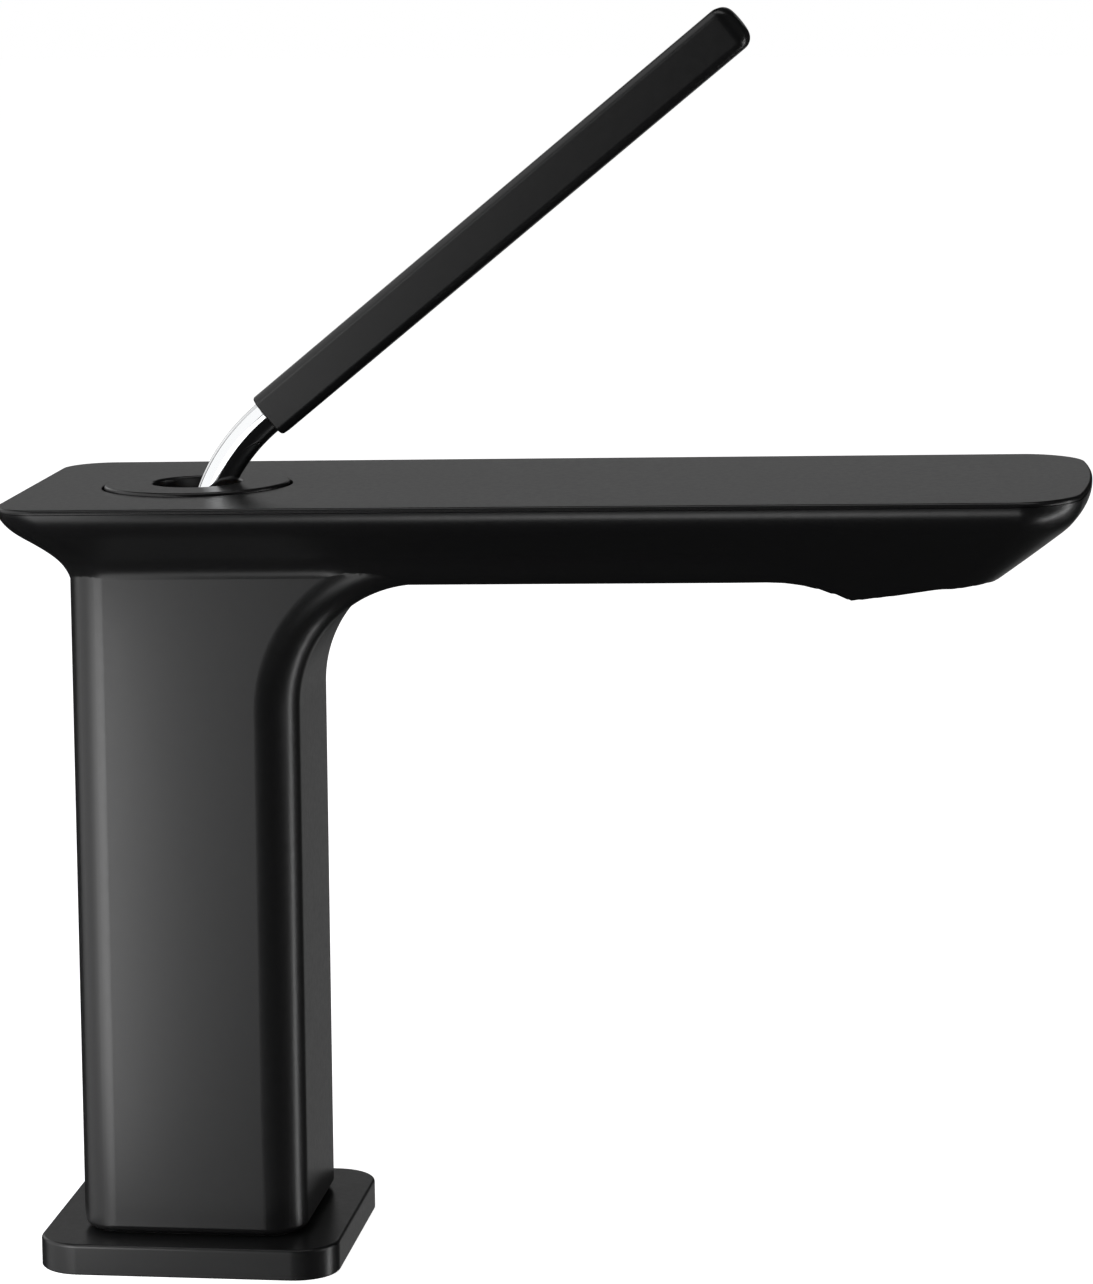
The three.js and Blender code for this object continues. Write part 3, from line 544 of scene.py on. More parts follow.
def under_rounding(sizes, depth):
    """How far the arm's rounded lower edge has turned in at a depth."""
    edge = sizes.column_edge
    turned = min(max(depth - sizes.underside + edge, 0), edge)
    return edge - math.sqrt(edge * edge - turned * turned)


def slab_ring(sizes, depth, edge, line):
    """One closed ring of the slab's side, in the head frame."""
    back_wall = sizes.slab_back - sizes.column_half + BLEND_SKIN
    side_wall = sizes.slab_half - sizes.column_half + BLEND_SKIN
    arm_wall = side_wall + under_rounding(sizes, depth)
    back_inset = flare_inset(depth, SIDE_SLOPE, SIDE_START, BACK_STRETCH, back_wall, BACK_FOOT_BLEND) + edge
    column_inset, arm_inset, boss_inset = (
        flare_inset(depth, SIDE_SLOPE, SIDE_START, SIDE_STRETCH, wall) + edge
        for wall in (side_wall, arm_wall, None)
    )
    tip_inset = flare_inset(depth, TIP_SLOPE, TIP_START) + edge

    def half_at(x):
        arm = smoothstep(x, ARM_START, ARM_FULL)
        boss = smoothstep(x, BOSS_START - BOSS_FADE, BOSS_START + BOSS_FADE)
        inset = column_inset * (1 - arm) + arm_inset * arm
        return sizes.slab_half - inset * (1 - boss) - boss_inset * boss

    def bowed(x, y):
        weight = smoothstep(x, tip - 2 * sizes.tip_corner, tip)
        return x - sizes.tip_bow * weight * (y / sizes.slab_half) ** 2

    def depth_at(x):
        back = smoothstep(x, 0, -BACK_REACH)
        arm = smoothstep(x, ARM_START + ARM_DELAY, ARM_FULL + ARM_DELAY)
        limit = COLUMN_DEPTH * (1 - back) + BACK_DEPTH * back
        return min(depth, limit * (1 - arm) + (under_depth(line, x) - BLEND_SKIN) * arm)

    tip = sizes.slab_tip - tip_inset
    back = -sizes.slab_back + back_inset
    share = min(depth / TIP_DEPTH, 1)
    corner = sizes.tip_corner * (1 - share) + TIP_CORNER_BELOW * share
    upper = [(tip, (half_at(tip) - corner) * (k + 0.5) / TIP_STEPS) for k in range(TIP_STEPS)]
    upper += corner_arc(tip - corner, half_at(tip), corner, 0, 20)
    upper += [(x, half_at(x)) for x in SIDE_STATIONS]
    upper += corner_arc(back + sizes.back_corner, half_at(0), sizes.back_corner, math.pi / 2, 16)
    outline = upper + [(x, -y) for x, y in reversed(upper)]
    return [Vector((bowed(x, y), y, -depth_at(x))) for x, y in outline]


def slab(sizes):
    """The flat top with its flared sides, down to where it meets the column and the outlet."""
    line = boss_line(sizes)
    rings = []
    for k in range(6):
        a = math.pi / 2 * k / 5
        depth, edge = sizes.rim * (1 - math.sin(a)), sizes.rim * (1 - math.cos(a))
        rings.append(slab_ring(sizes, depth, edge, line))
    rings = rings[::-1] + [slab_ring(sizes, depth * MM, inset * MM, line) for depth, inset in RIM_GROOVE]
    rings += [slab_ring(sizes, FLARE_TOP + FLARE_STEP * k, 0, line) for k in range(FLARE_STEPS)]
    return moved(loft("slab", rings), HEAD)


def head_point(x, z):
    """A point of the head frame's XZ plane, in the part's."""
    point = HEAD @ Vector((x, 0, z))
    return Vector((point.x, point.z))


def side_outline(sizes):
    """Column, inner fillet, arm underside and outlet boss, in the XZ plane."""
    half, fillet = sizes.column_half, sizes.inner_fillet
    low, above = BODY_LOW.z - COLUMN_BELOW, BODY_LOW.z + COLUMN_STRAIGHT
    points = [Vector((-half, low)), Vector((half, low)), Vector((half, above))]
    rise = math.atan2(-SWIVEL_AXIS.x, SWIVEL_AXIS.z)
    under = head_point(0, -sizes.underside)
    centre_x = half + fillet
    centre_z = under.y + (centre_x - under.x) * math.tan(rise) - fillet / math.cos(rise)
    for k in range(41):
        a = math.pi - (math.pi / 2 - rise) * k / 40
        points.append(Vector((centre_x + fillet * math.cos(a), centre_z + fillet * math.sin(a))))
    points += [head_point(p.x, p.y) for p in boss_line(sizes)]
    points.append(head_point(ARM_END, ARM_TOP))
    points.append(Vector((-half, head_point(-half, ARM_TOP).y)))
    return points


def moved_in(points, distance):
    """The outline moved inwards along its mitres."""
    made = []
    count = len(points)
    for i, point in enumerate(points):
        before = (point - points[i - 1]).normalized()
        after = (points[(i + 1) % count] - point).normalized()
        normal = Vector((-before.y - after.y, before.x + after.x)).normalized()
        spread = math.sqrt((1 + before.dot(after)) / 2)
        made.append(point + normal * (distance / spread))
    return made


def column_and_arm(sizes):
    """The L-shaped column and arm, with every long edge rounded."""
    outer = side_outline(sizes)
    inner = moved_in(outer, sizes.column_edge)
    straight = sizes.column_half - sizes.column_edge
    steps = 14
    boss = [smoothstep(p.x, TAPER_START, TAPER_END) for p in outer]
    tapers = [1 - (1 - BOSS_TAPER) * share for share in boss]
    rings = []
    for sign in (-1, 1):
        angles = [math.pi / 2 * k / steps for k in range(steps + 1)]
        for a in reversed(angles) if sign < 0 else angles:
            share = 1 - math.cos(a)
            y = sign * (straight + sizes.column_edge * math.sin(a))
            line = [p.lerp(q, share) for p, q in zip(outer, inner)]
            rings.append([Vector((p.x, y * taper, p.y)) for p, taper in zip(line, tapers)])
    return loft("column_and_arm", rings)


# Profiles of the hollows, in millimetres: the chamber from the top face, the outlet from its own face
CHAMBER = (
    (0, -42.3), (14.4, -42.3), (14.4, -12.3), (16.3, -12.3), (16.3, -2.9), (18.8, -2.9), (18.8, -0.5),
    (18.95, -0.15), (19.3, 0), (19.3, 5), (0, 5),
)
OUTLET_BORE = ((0, -5), (8.4, -5), (8.4, 0), (8.1, 0.3), (8.1, 11), (0, 11))
CHANNEL_HALF_HEIGHT, CHANNEL_HALF_WIDTH, CHANNEL_CORNER = 4.7 * MM, 12 * MM, 3 * MM
CHANNEL_DEPTH, CHANNEL_START, CHANNEL_END = 8.8 * MM, 30 * MM, 149 * MM
PASSAGE = ((8 * MM, 0, -30 * MM), (45 * MM, 0, -8 * MM))
PASSAGE_RADIUS = 4 * MM
COLUMN_WALL, COLUMN_HOLLOW_CORNER, COLUMN_HOLLOW_TOP = 3.1 * MM, 4.9 * MM, 100 * MM
GROUND_HALF, GROUND_LOW = 60 * MM, -40 * MM


def body_cutters(sizes):
    """The hollows of the body: cartridge chamber, water way, outlet and column."""
    channel = rounded_rect(CHANNEL_HALF_HEIGHT, CHANNEL_HALF_WIDTH, CHANNEL_CORNER, 6)
    along = HEAD @ Matrix.Translation((0, 0, -CHANNEL_DEPTH)) @ Matrix.Rotation(math.pi / 2, 4, "Y")
    start, end = (HEAD @ Vector(p) for p in PASSAGE)
    hollow = sizes.column_half - COLUMN_WALL
    return [
        lathe("chamber", in_mm(CHAMBER), 128, HEAD),
        prism("channel", channel, CHANNEL_START, CHANNEL_END, along),
        rod_between("passage", start, end, PASSAGE_RADIUS),
        lathe("outlet", in_mm(OUTLET_BORE), 96, OUTLET),
        prism("hollow", rounded_rect(hollow, hollow, COLUMN_HOLLOW_CORNER, 6), 0, COLUMN_HOLLOW_TOP),
    ]


def foot_ground(sizes):
    """What is cut away under the column, so that its bottom edge comes out rounded."""
    top = BODY_LOW.z + sizes.foot_edge
    ground = prism("ground", rounded_rect(GROUND_HALF, GROUND_HALF, MM, 1), GROUND_LOW, top)
    rings = []
    for k in range(9):
        a = math.pi / 2 * k / 8
        inset = sizes.foot_edge * (1 - math.sin(a)) - BLEND_SKIN
        half, corner = sizes.column_half - inset, sizes.column_edge - inset
        outline = rounded_rect(half, half, corner, 16)
        rings.append(at_height(outline, top - sizes.foot_edge * math.cos(a)))
    rings.append(at_height(outline, top + MM))
    return combine(ground, [loft("foot", rings)], "DIFFERENCE")


class MixerBuildBody(bpy.types.Operator):
    """Build the one-piece body with its spout and hollows"""

    bl_idname = "mixer.build_body"
    bl_label = "Body"

    def execute(self, context):
        sizes = context.scene.mixer_body
        body = column_and_arm(sizes)
        combine(body, [foot_ground(sizes)], "DIFFERENCE")
        combine(body, [slab(sizes)], "UNION")
        combine(body, body_cutters(sizes), "DIFFERENCE")
        body.name = "body_casting"
        finished(shaded(body), "faucet_body", "black_finish", "body_shell")
        return {"FINISHED"}


# ---- plate, gaskets and rosette

PLATE_FOOT = 0.25 * MM
SEAT_HALF, SEAT_CORNER, SEAT_DEPTH = 20.6 * MM, 6 * MM, 1.2 * MM
PLATE_HOLES = ((5.8, 0, 8.5), (3.5, 13.5, 0))  # in millimetres: radius, x and y, each also on the far side
# Rosette in millimetres: its underside, the radii and foot of the skirt under it, and its eased edges
ROSETTE_UNDER, ROSETTE_SKIRT, ROSETTE_EASE = -2.6, (12.2, 15.6, -5.5), 0.7


def plate_rings(sizes):
    """Outlines of the plate from its foot to its eased upper edge."""
    half = (PLATE_HIGH.x - PLATE_LOW.x) / 2
    top, ease = PLATE_HIGH.z, sizes.plate_ease
    levels = [(0, PLATE_FOOT), (PLATE_FOOT, 0)]
    for k in range(7):
        a = math.pi / 2 * k / 6
        levels.append((top - ease + ease * math.sin(a), ease * (1 - math.cos(a))))
    rings = []
    for z, inset in levels:
        outline = rounded_rect(half - inset, half - inset, sizes.plate_corner - inset, 14)
        rings.append(at_height(outline, z))
    return rings


class MixerBuildPlate(bpy.types.Operator):
    """Build the base plate with its water and stud holes"""

    bl_idname = "mixer.build_plate"
    bl_label = "Base plate"

    def execute(self, context):
        plate = loft("deck_plate", plate_rings(context.scene.mixer_trim))
        top = PLATE_HIGH.z
        seat = rounded_rect(SEAT_HALF, SEAT_HALF, SEAT_CORNER, 8)
        tools = [prism("seat", seat, top - SEAT_DEPTH, top + MM)]
        for sign in (-1, 1):
            for radius, x, y in PLATE_HOLES:
                place = Matrix.Translation((sign * x * MM, sign * y * MM, 0))
                hole = [(0, -MM), (radius * MM, -MM), (radius * MM, top), (0, top)]
                tools.append(lathe("hole", hole, 48, place))
        combine(plate, tools, "DIFFERENCE")
        finished(shaded(plate), "faucet_body", "black_finish", "base_plate")
        return {"FINISHED"}


class MixerBuildRosette(bpy.types.Operator):
    """Build the rosette round the stem"""

    bl_idname = "mixer.build_rosette"
    bl_label = "Rosette"

    def execute(self, context):
        sizes = context.scene.mixer_trim
        hole, radius, proud = sizes.rosette_hole / MM, sizes.rosette_radius / MM, sizes.rosette_proud / MM
        under, (inner, outer, foot) = ROSETTE_UNDER, ROSETTE_SKIRT
        profile = [
            (hole, under), (inner, under), (inner, foot), (outer, foot), (outer, under), (radius, under),
            (radius, proud), (hole, proud),
        ]
        rosette = turned("stem_rosette", profile, ROSETTE_EASE, 160, HEAD, 6)
        finished(shaded(rosette), "faucet_body", "black_finish", "rosette")
        return {"FINISHED"}


# ---- lever

GRIP_START = Vector((15.08 * MM, 0, 13.65 * MM))
GRIP_RISE = math.radians(38.66)
SPINDLE_TILT = math.radians(6)
GRIP_AXIS = Vector((math.cos(GRIP_RISE), 0, math.sin(GRIP_RISE)))
GRIP_BORE, GRIP_BORE_DEPTH = 2.7 * MM, 20 * MM
GRIP_TIP_ROUND, GRIP_TIP_TURN = 3 * MM, 0.97  # radius, and the share of a quarter turn before the flat end
GRIP_CORNER_GAIN, GRIP_CORNER_LIMIT = 0.25, 0.98  # shares of the inset and of the half width at the tip
GRIP_EDGE = ((0, 0.45), (0.12, 0.2), (0.45, 0))  # eased lower end: height and inset, in millimetres
STEM_FOOT, STEM_HANDLE = 11 * MM, 10 * MM
STEM_EASE, PEG_LENGTH, PEG_RADIUS = 0.3 * MM, 19 * MM, 2.4 * MM
SHOULDER = 1e-6  # step along the path from the stem's end to its thinner peg
SOCKET_RADIUS, SOCKET_DEPTH = 2.5 * MM, 6 * MM
SCREW_RADIUS, SCREW_REACH, SCREW_ABOVE = 1.4 * MM, 8 * MM, 2.6 * MM


def grip_frame():
    """The grip's frame: Z along it from its lower end, X towards its underside."""
    return HEAD @ Matrix.Translation(GRIP_START) @ Matrix.Rotation(math.pi / 2 - GRIP_RISE, 4, "Y")


def stem_line():
    """Middle line of the stem in the head frame: low point, two handles, end in the grip's face."""
    up = Vector((math.sin(SPINDLE_TILT), 0, math.cos(SPINDLE_TILT)))
    low = Vector(((PIVOT_DEPTH - STEM_FOOT) * math.tan(SPINDLE_TILT), 0, -STEM_FOOT))
    end = GRIP_START - GRIP_AXIS * STEM_EASE
    return [low, low + up * STEM_HANDLE, GRIP_START - GRIP_AXIS * STEM_HANDLE, end]


def swept(name, path, radii, sides=40):
    """Round sections along a path in the XZ plane; a repeated point makes a shoulder."""
    rings = []
    for i, (point, radius) in enumerate(zip(path, radii)):
        ahead = next((q for q in path[i + 1:] if (q - point).length > 1e-7), None)
        behind = next((q for q in reversed(path[:i]) if (q - point).length > 1e-7), None)
        along = ((ahead or point) - (behind or point)).normalized()
        across = Vector((along.z, 0, -along.x))
        turns = [(radius * math.cos(a), radius * math.sin(a)) for a in around(sides)]
        rings.append([point + across * out + Vector((0, y, 0)) for out, y in turns])
    return loft(name, rings)


class MixerBuildStem(bpy.types.Operator):
    """Build the bent chrome stem"""

    bl_idname = "mixer.build_stem"
    bl_label = "Stem"

    def execute(self, context):
        radius = context.scene.mixer_lever.stem_radius
        path = bezier(stem_line(), 56)
        start, end = path[0], path[-1]
        path[0] = start + (path[1] - start).normalized() * STEM_EASE
        peg = [end + GRIP_AXIS * along for along in (SHOULDER, PEG_LENGTH - STEM_EASE, PEG_LENGTH)]
        peg_radii = [PEG_RADIUS, PEG_RADIUS, PEG_RADIUS - STEM_EASE]
        radii = [radius - STEM_EASE] + [radius] * len(path) + peg_radii
        path = [start] + path + peg
        stem = moved(swept("bent_stem", path, radii), HEAD)
        low, handle = stem_line()[:2]
        up = (handle - low).normalized()
        bottom, top = low - up * MM, low + up * SOCKET_DEPTH
        socket = rod_between("socket", HEAD @ bottom, HEAD @ top, SOCKET_RADIUS)
        screw_at = low + up * SCREW_ABOVE
        screw_end = screw_at + Vector((SCREW_REACH, 0, 0))
        hole = rod_between("hole", HEAD @ screw_at, HEAD @ screw_end, SCREW_RADIUS)
        combine(stem, [socket, hole], "DIFFERENCE")
        finished(shaded(stem, 40), "lever", "chrome", "lever_stem")
        return {"FINISHED"}


class MixerBuildGrip(bpy.types.Operator):
    """Build the square grip with its chamfered lower end and rounded tip"""

    bl_idname = "mixer.build_grip"
    bl_label = "Grip"

    def execute(self, context):
        sizes = context.scene.mixer_lever
        length, tip = sizes.grip_length, GRIP_TIP_ROUND
        levels = in_mm(GRIP_EDGE) + [(length * share, 0) for share in (0.25, 0.5, 0.75)]
        levels.append((length - tip - MM, 0))
        for k in range(13):
            a = math.pi / 2 * k / 12 * GRIP_TIP_TURN
            levels.append((length - tip * (1 - math.sin(a)), tip * (1 - math.cos(a))))
        rings = []
        for z, inset in levels:
            share = z / length
            half = sizes.grip_half * (1 - share) + sizes.grip_tip_half * share - inset
            corner = min(sizes.grip_corner + inset * GRIP_CORNER_GAIN, half * GRIP_CORNER_LIMIT)
            rings.append(at_height(rounded_rect(half, half, corner, 8), z))
        place = grip_frame()
        grip = moved(loft("square_grip", rings), place)
        bottom, top, at = (Vector((0, 0, z)) for z in (-MM, GRIP_BORE_DEPTH, GRIP_BORE_DEPTH / 2))
        bore = rod_between("bore", place @ bottom, place @ top, GRIP_BORE)
        hole = rod_between("hole", place @ at, place @ (at + Vector((SCREW_REACH, 0, 0))), SCREW_RADIUS)
        combine(grip, [bore, hole], "DIFFERENCE")
        finished(shaded(grip, 40), "lever", "black_finish", "lever_grip")
        return {"FINISHED"}


# ---- repeated details

def repeater():
    """Geometry nodes that copy a template object to every point, join the copies and paint them."""
    tree = bpy.data.node_groups.new("repeat_on_points", "GeometryNodeTree")
    sockets = (
        ("Points", "NodeSocketGeometry"), ("Template", "NodeSocketObject"),
        ("Merge Distance", "NodeSocketFloat"), ("Material", "NodeSocketMaterial"),
    )
    for name, kind in sockets:
        tree.interface.new_socket(name, in_out="INPUT", socket_type=kind)
    tree.interface.new_socket("Geometry", in_out="OUTPUT", socket_type="NodeSocketGeometry")
    enter, leave = tree.nodes.new("NodeGroupInput"), tree.nodes.new("NodeGroupOutput")
    template = tree.nodes.new("GeometryNodeObjectInfo")
    turn = tree.nodes.new("GeometryNodeInputNamedAttribute")
    turn.data_type = "FLOAT_VECTOR"
    turn.inputs["Name"].default_value = "turn"
    place = tree.nodes.new("GeometryNodeInstanceOnPoints")
    real = tree.nodes.new("GeometryNodeRealizeInstances")
    merge = tree.nodes.new("GeometryNodeMergeByDistance")
    paint = tree.nodes.new("GeometryNodeSetMaterial")
    links = (
        (enter, "Points", place, "Points"), (enter, "Template", template, "Object"),
        (template, "Geometry", place, "Instance"), (turn, "Attribute", place, "Rotation"),
        (place, "Instances", real, "Geometry"), (real, "Geometry", merge, "Geometry"),
        (enter, "Merge Distance", merge, "Distance"), (merge, "Geometry", paint, "Geometry"),
        (enter, "Material", paint, "Material"), (paint, "Geometry", leave, "Geometry"),
    )
    for source, output, target, entry in links:
        tree.links.new(source.outputs[output], target.inputs[entry])
    return tree


def repeated(name, template, points, turns, material, merge=1e-7):
    """One piece made of a template at every point, each turned by its own angles; the template is used up."""
    tree = bpy.data.node_groups.get("repeat_on_points") or repeater()
    obj = mesh_object(name, points, [])
    attribute = obj.data.attributes.new("turn", "FLOAT_VECTOR", "POINT")
    for entry, angles in zip(attribute.data, turns):
        entry.vector = angles
    modifier = obj.modifiers.new("Repeat", "NODES")
    modifier.node_group = tree
    sockets = {item.name: item.identifier for item in tree.interface.items_tree if item.in_out == "INPUT"}
    modifier[sockets["Template"]] = template
    modifier[sockets["Merge Distance"]] = merge
    modifier[sockets["Material"]] = material
    obj.update_tag()
    bpy.context.view_layer.update()
    baked(obj)
    bpy.data.objects.remove(template)
    return obj


def joined(name, parts):
    """One mesh from several that may touch."""
    made = bmesh.new()
    for part in parts:
        made.from_mesh(part.data)
    mesh = bpy.data.meshes.new(name)
    made.to_mesh(mesh)
    made.free()
    for part in parts:
        bpy.data.objects.remove(part)
    obj = bpy.data.objects.new(name, mesh)
    bpy.context.scene.collection.objects.link(obj)
    return obj


def eased_copy(node, width):
    """A copy of a CAD node with its crisp edges rounded."""
    obj = frame["nodes"][node].copy()
    obj.data = obj.data.copy()
    for key in list(obj.keys()):
        del obj[key]
    obj.name, obj.parent = node + "_eased", None
    bpy.context.scene.collection.objects.link(obj)
    facing_out(obj, 2e-6)
    modifier = obj.modifiers.new("Ease", "BEVEL")
    modifier.width, modifier.segments = width, 2
    modifier.limit_method, modifier.angle_limit = "ANGLE", math.radians(40)
    baked(obj)
    return shaded(obj, 35)


# ---- outlet

# Turned pieces of the outlet, in millimetres from its face inwards, and the notches in its shell
CUP = ((5.7, 0.4), (7.75, 0.4), (7.75, 8.8), (6.6, 8.8), (6.6, 1.4), (5.7, 1.4))
INSERT_RIM = ((5.5, 1.8), (6.3, 1.8), (6.3, 4.6), (5.5, 4.6))
SCREEN_HOOP = ((5.7, 5), (6.3, 5), (6.3, 5.5), (5.7, 5.5))
WASHER = ((5.6, 9.1), (7.75, 9.1), (7.75, 10.4), (5.6, 10.4))
NOTCHES, NOTCH_LOW, NOTCH_HIGH = 8, (6.6, -0.6, -0.5), (9, 0.6, 1.1)
OUTLET_REACH = 5.7 * MM
CELL_SHARE, CELL_WALL, CELL_LOW, CELL_HIGH = 0.56, 0.13 * MM, 1.9 * MM, 4.4 * MM
WIRE_RADIUS, WIRE_SWING, WIRE_STEPS = 0.09 * MM, 0.55, 42
SCREEN_DEPTH, SCREEN_REACH = 5.25 * MM, 6.2 * MM


def box_mesh(low, high):
    """Points and faces of a box between two corners, in millimetres."""
    xs, ys, zs = zip(low, high)
    points = [(x * MM, y * MM, z * MM) for x in xs for y in ys for z in zs]
    faces = [(0, 1, 3, 2), (4, 6, 7, 5), (0, 4, 5, 1), (2, 3, 7, 6), (0, 2, 6, 4), (1, 5, 7, 3)]
    return points, faces


def hexagon_cell(radius, wall, low, high):
    """A hexagonal tube about Z."""
    points, faces = [], []
    for r, z in ((radius, low), (radius, high), (radius - wall, high), (radius - wall, low)):
        points += [(r * math.cos(a), r * math.sin(a), z) for a in around(6)]
    for level in range(4):
        for k in range(6):
            j, up = (k + 1) % 6, (level + 1) % 4
            faces.append((level * 6 + k, level * 6 + j, up * 6 + j, up * 6 + k))
    return facing_out(mesh_object("cell", points, faces))


def hexagon_points(pitch, reach):
    """Points of a honeycomb inside a circle."""
    points = []
    rows = int(reach / pitch) + 2
    for row in range(-rows, rows + 1):
        for column in range(-rows, rows + 1):
            point = Vector((row * pitch * math.sqrt(3) / 2, (column + (row % 2) / 2) * pitch, 0))
            if point.length < reach:
                points.append(point)
    return points


def woven_wire(length, pitch, wire, steps):
    """One wire of a plain weave, along X."""
    rings = []
    for k in range(steps + 1):
        x = -length / 2 + length * k / steps
        z = wire * WIRE_SWING * math.cos(math.pi * x / pitch)
        rings.append([Vector((x, wire * math.cos(a), z + wire * math.sin(a))) for a in around(6)])
    return loft("wire", rings)


class MixerBuildOutlet(bpy.types.Operator):
    """Build the aerator: notched shell, honeycomb insert and woven screen"""

    bl_idname = "mixer.build_outlet"
    bl_label = "Outlet"

    def execute(self, context):
        sizes = context.scene.mixer_trim
        shell = turned("aerator_cup", CUP, 0.25, 96)
        notch = mesh_object("notch", *box_mesh(NOTCH_LOW, NOTCH_HIGH))
        turns = [(0, 0, a + math.pi / NOTCHES) for a in around(NOTCHES)]
        notches = repeated("notches", notch, [(0, 0, 0)] * NOTCHES, turns, FINISHES["black_finish"])
        combine(shell, [notches], "DIFFERENCE")
        finished(shaded(moved(shell, OUTLET)), "faucet_body", "black_finish", "aerator_shell")

        rim = turned("rim", INSERT_RIM, 0.2, 72)
        cell = hexagon_cell(sizes.cell_pitch * CELL_SHARE, CELL_WALL, CELL_LOW, CELL_HIGH)
        points = hexagon_points(sizes.cell_pitch, OUTLET_REACH)
        plastic = FINISHES["cartridge_plastic"]
        cells = repeated("cells", cell, points, [(0, 0, 0)] * len(points), plastic, 1e-6)
        insert = moved(joined("honeycomb_insert", [rim, cells]), OUTLET)
        finished(shaded(insert), "faucet_body", "cartridge_plastic", "aerator_insert")

        strands = [turned("hoop", SCREEN_HOOP, 0.12, 72)]
        pitch = sizes.wire_pitch
        rows = int(OUTLET_REACH / pitch)
        offsets = [k * pitch for k in range(-rows, rows + 1)]
        for turn in (0, math.pi / 2):
            wire = woven_wire(2 * OUTLET_REACH, pitch, WIRE_RADIUS, WIRE_STEPS)
            points = [(0, y, 0) if turn == 0 else (y, 0, 0) for y in offsets]
            strand = repeated("strands", wire, points, [(0, 0, turn)] * len(points), FINISHES["steel"])
            strands.append(moved(strand, Matrix.Translation((0, 0, SCREEN_DEPTH))))
        screen = joined("woven_screen", strands)
        for vertex in screen.data.vertices:
            flat = Vector((vertex.co.x, vertex.co.y))
            if flat.length > SCREEN_REACH:
                vertex.co.x, vertex.co.y = flat.normalized() * SCREEN_REACH
        finished(shaded(moved(screen, OUTLET)), "faucet_body", "steel", "aerator_screen")

        washer = turned("outlet_seal", WASHER, 0.3, 72, OUTLET)
        finished(shaded(washer), "faucet_body", "rubber", "aerator_washer")
        return {"FINISHED"}


# ---- fixings under the deck

THREAD = ((0, 1), (0.36, 0), (0.5, 0), (0.86, 1), (1, 1))  # shares of the pitch and of the depth
# Stud: its eased ends, the turns left clear, and how deep its core stands inside the thread
STUD_EASE, STUD_CLEAR, STUD_SINK = 0.5 * MM, 3, 0.98
# Nut: half its width, its corners, where their chamfers start, and how high these are
NUT_HALF, NUT_CORNER, NUT_FACE, NUT_CHAMFER = 5 * MM, 1.16, 0.97, 0.17
NUT_BORE, NUT_EASE = 3.3 * MM, 0.4 * MM
SPRING_OUTER, SPRING_SHARE, SPRING_START, SPRING_TURN = 5.2 * MM, 0.72, 12, 336  # angles in degrees
# Nodes copied with eased edges: slot, the edges' width in millimetres, and the body if it isn't the faucet's
FIXING_NODES = {
    "clamp_plate": ("steel", 0.35), "clamp_washer": ("rubber", 0.5), "foot_block": ("brass", 0.3),
    "base_gasket": ("rubber", 0.3), "column_gasket": ("rubber", 0.2),
    "foot_screw_1": ("steel", 0.2), "foot_screw_2": ("steel", 0.2),
}
CARTRIDGE_NODES = {
    "cartridge_base": ("cartridge_plastic", 0.3), "cartridge_casing": ("cartridge_plastic", 0.3),
    "cartridge_nut": ("brass", 0.2), "fixed_disc": ("ceramic", 0.15),
    "swivel_guide": ("cartridge_plastic", 0.3, "swivel"),
    "sliding_disc": ("ceramic", 0.15, "moving_disc"),
    "disc_carrier": ("cartridge_plastic", 0.25, "moving_disc"),
    "flow_restrictor": ("cartridge_plastic", 0.2),
}


def finish_copies(nodes):
    """Puts an eased copy in the place of each CAD node in the table."""
    for node, (slot, width, *other) in nodes.items():
        finished(eased_copy(node, width * MM), other[0] if other else "faucet_body", slot, node)


def thread_turn(radius, depth, pitch, sides=24):
    """One turn of a screw thread, whose edges meet the turns above and below."""
    profile = [(along, radius - depth * share) for along, share in THREAD]
    points, faces = [], []
    for k in range(sides + 1):
        a = 2 * math.pi * k / sides
        points += [(r * math.cos(a), r * math.sin(a), pitch * (k / sides + t)) for t, r in profile]
    rows = len(profile)
    for k in range(sides):
        for i in range(rows - 1):
            faces.append((k * rows + i, (k + 1) * rows + i, (k + 1) * rows + i + 1, k * rows + i + 1))
    return mesh_object("turn", points, faces)


def hex_nut(name, flat, bore, low, high, place):
    """A nut with chamfered corners."""
    corner, face, chamfer = flat * NUT_CORNER, flat * NUT_FACE, flat * NUT_CHAMFER
    nut = lathe(name, [(0, low), (corner, low), (corner, high), (0, high)], 6)
    barrel = [(0, low), (face, low), (corner, low + chamfer)]
    barrel += [(corner, high - chamfer), (face, high), (0, high)]
    combine(nut, [lathe("barrel", barrel, 64)], "INTERSECT")
    ease = NUT_EASE
    hole = [(0, low - ease), (bore + 2 * ease, low - ease), (bore, low + ease)]
    hole += [(bore, high - ease), (bore + 2 * ease, high + ease), (0, high + ease)]
    combine(nut, [lathe("hole", hole, 40)], "DIFFERENCE")
    return moved(nut, place)


def spring_ring(name, inner, outer, low, high, place):
    """A split spring washer whose ends stand apart."""
    rings = []
    thick = (high - low) * SPRING_SHARE
    for k in range(49):
        a = math.radians(SPRING_START + SPRING_TURN * k / 48)
        z = low + (high - low - thick) * k / 48
        section = ((inner, z), (outer, z), (outer, z + thick), (inner, z + thick))
        rings.append([Vector((r * math.cos(a), r * math.sin(a), h)) for r, h in section])
    return moved(loft(name, rings), place)


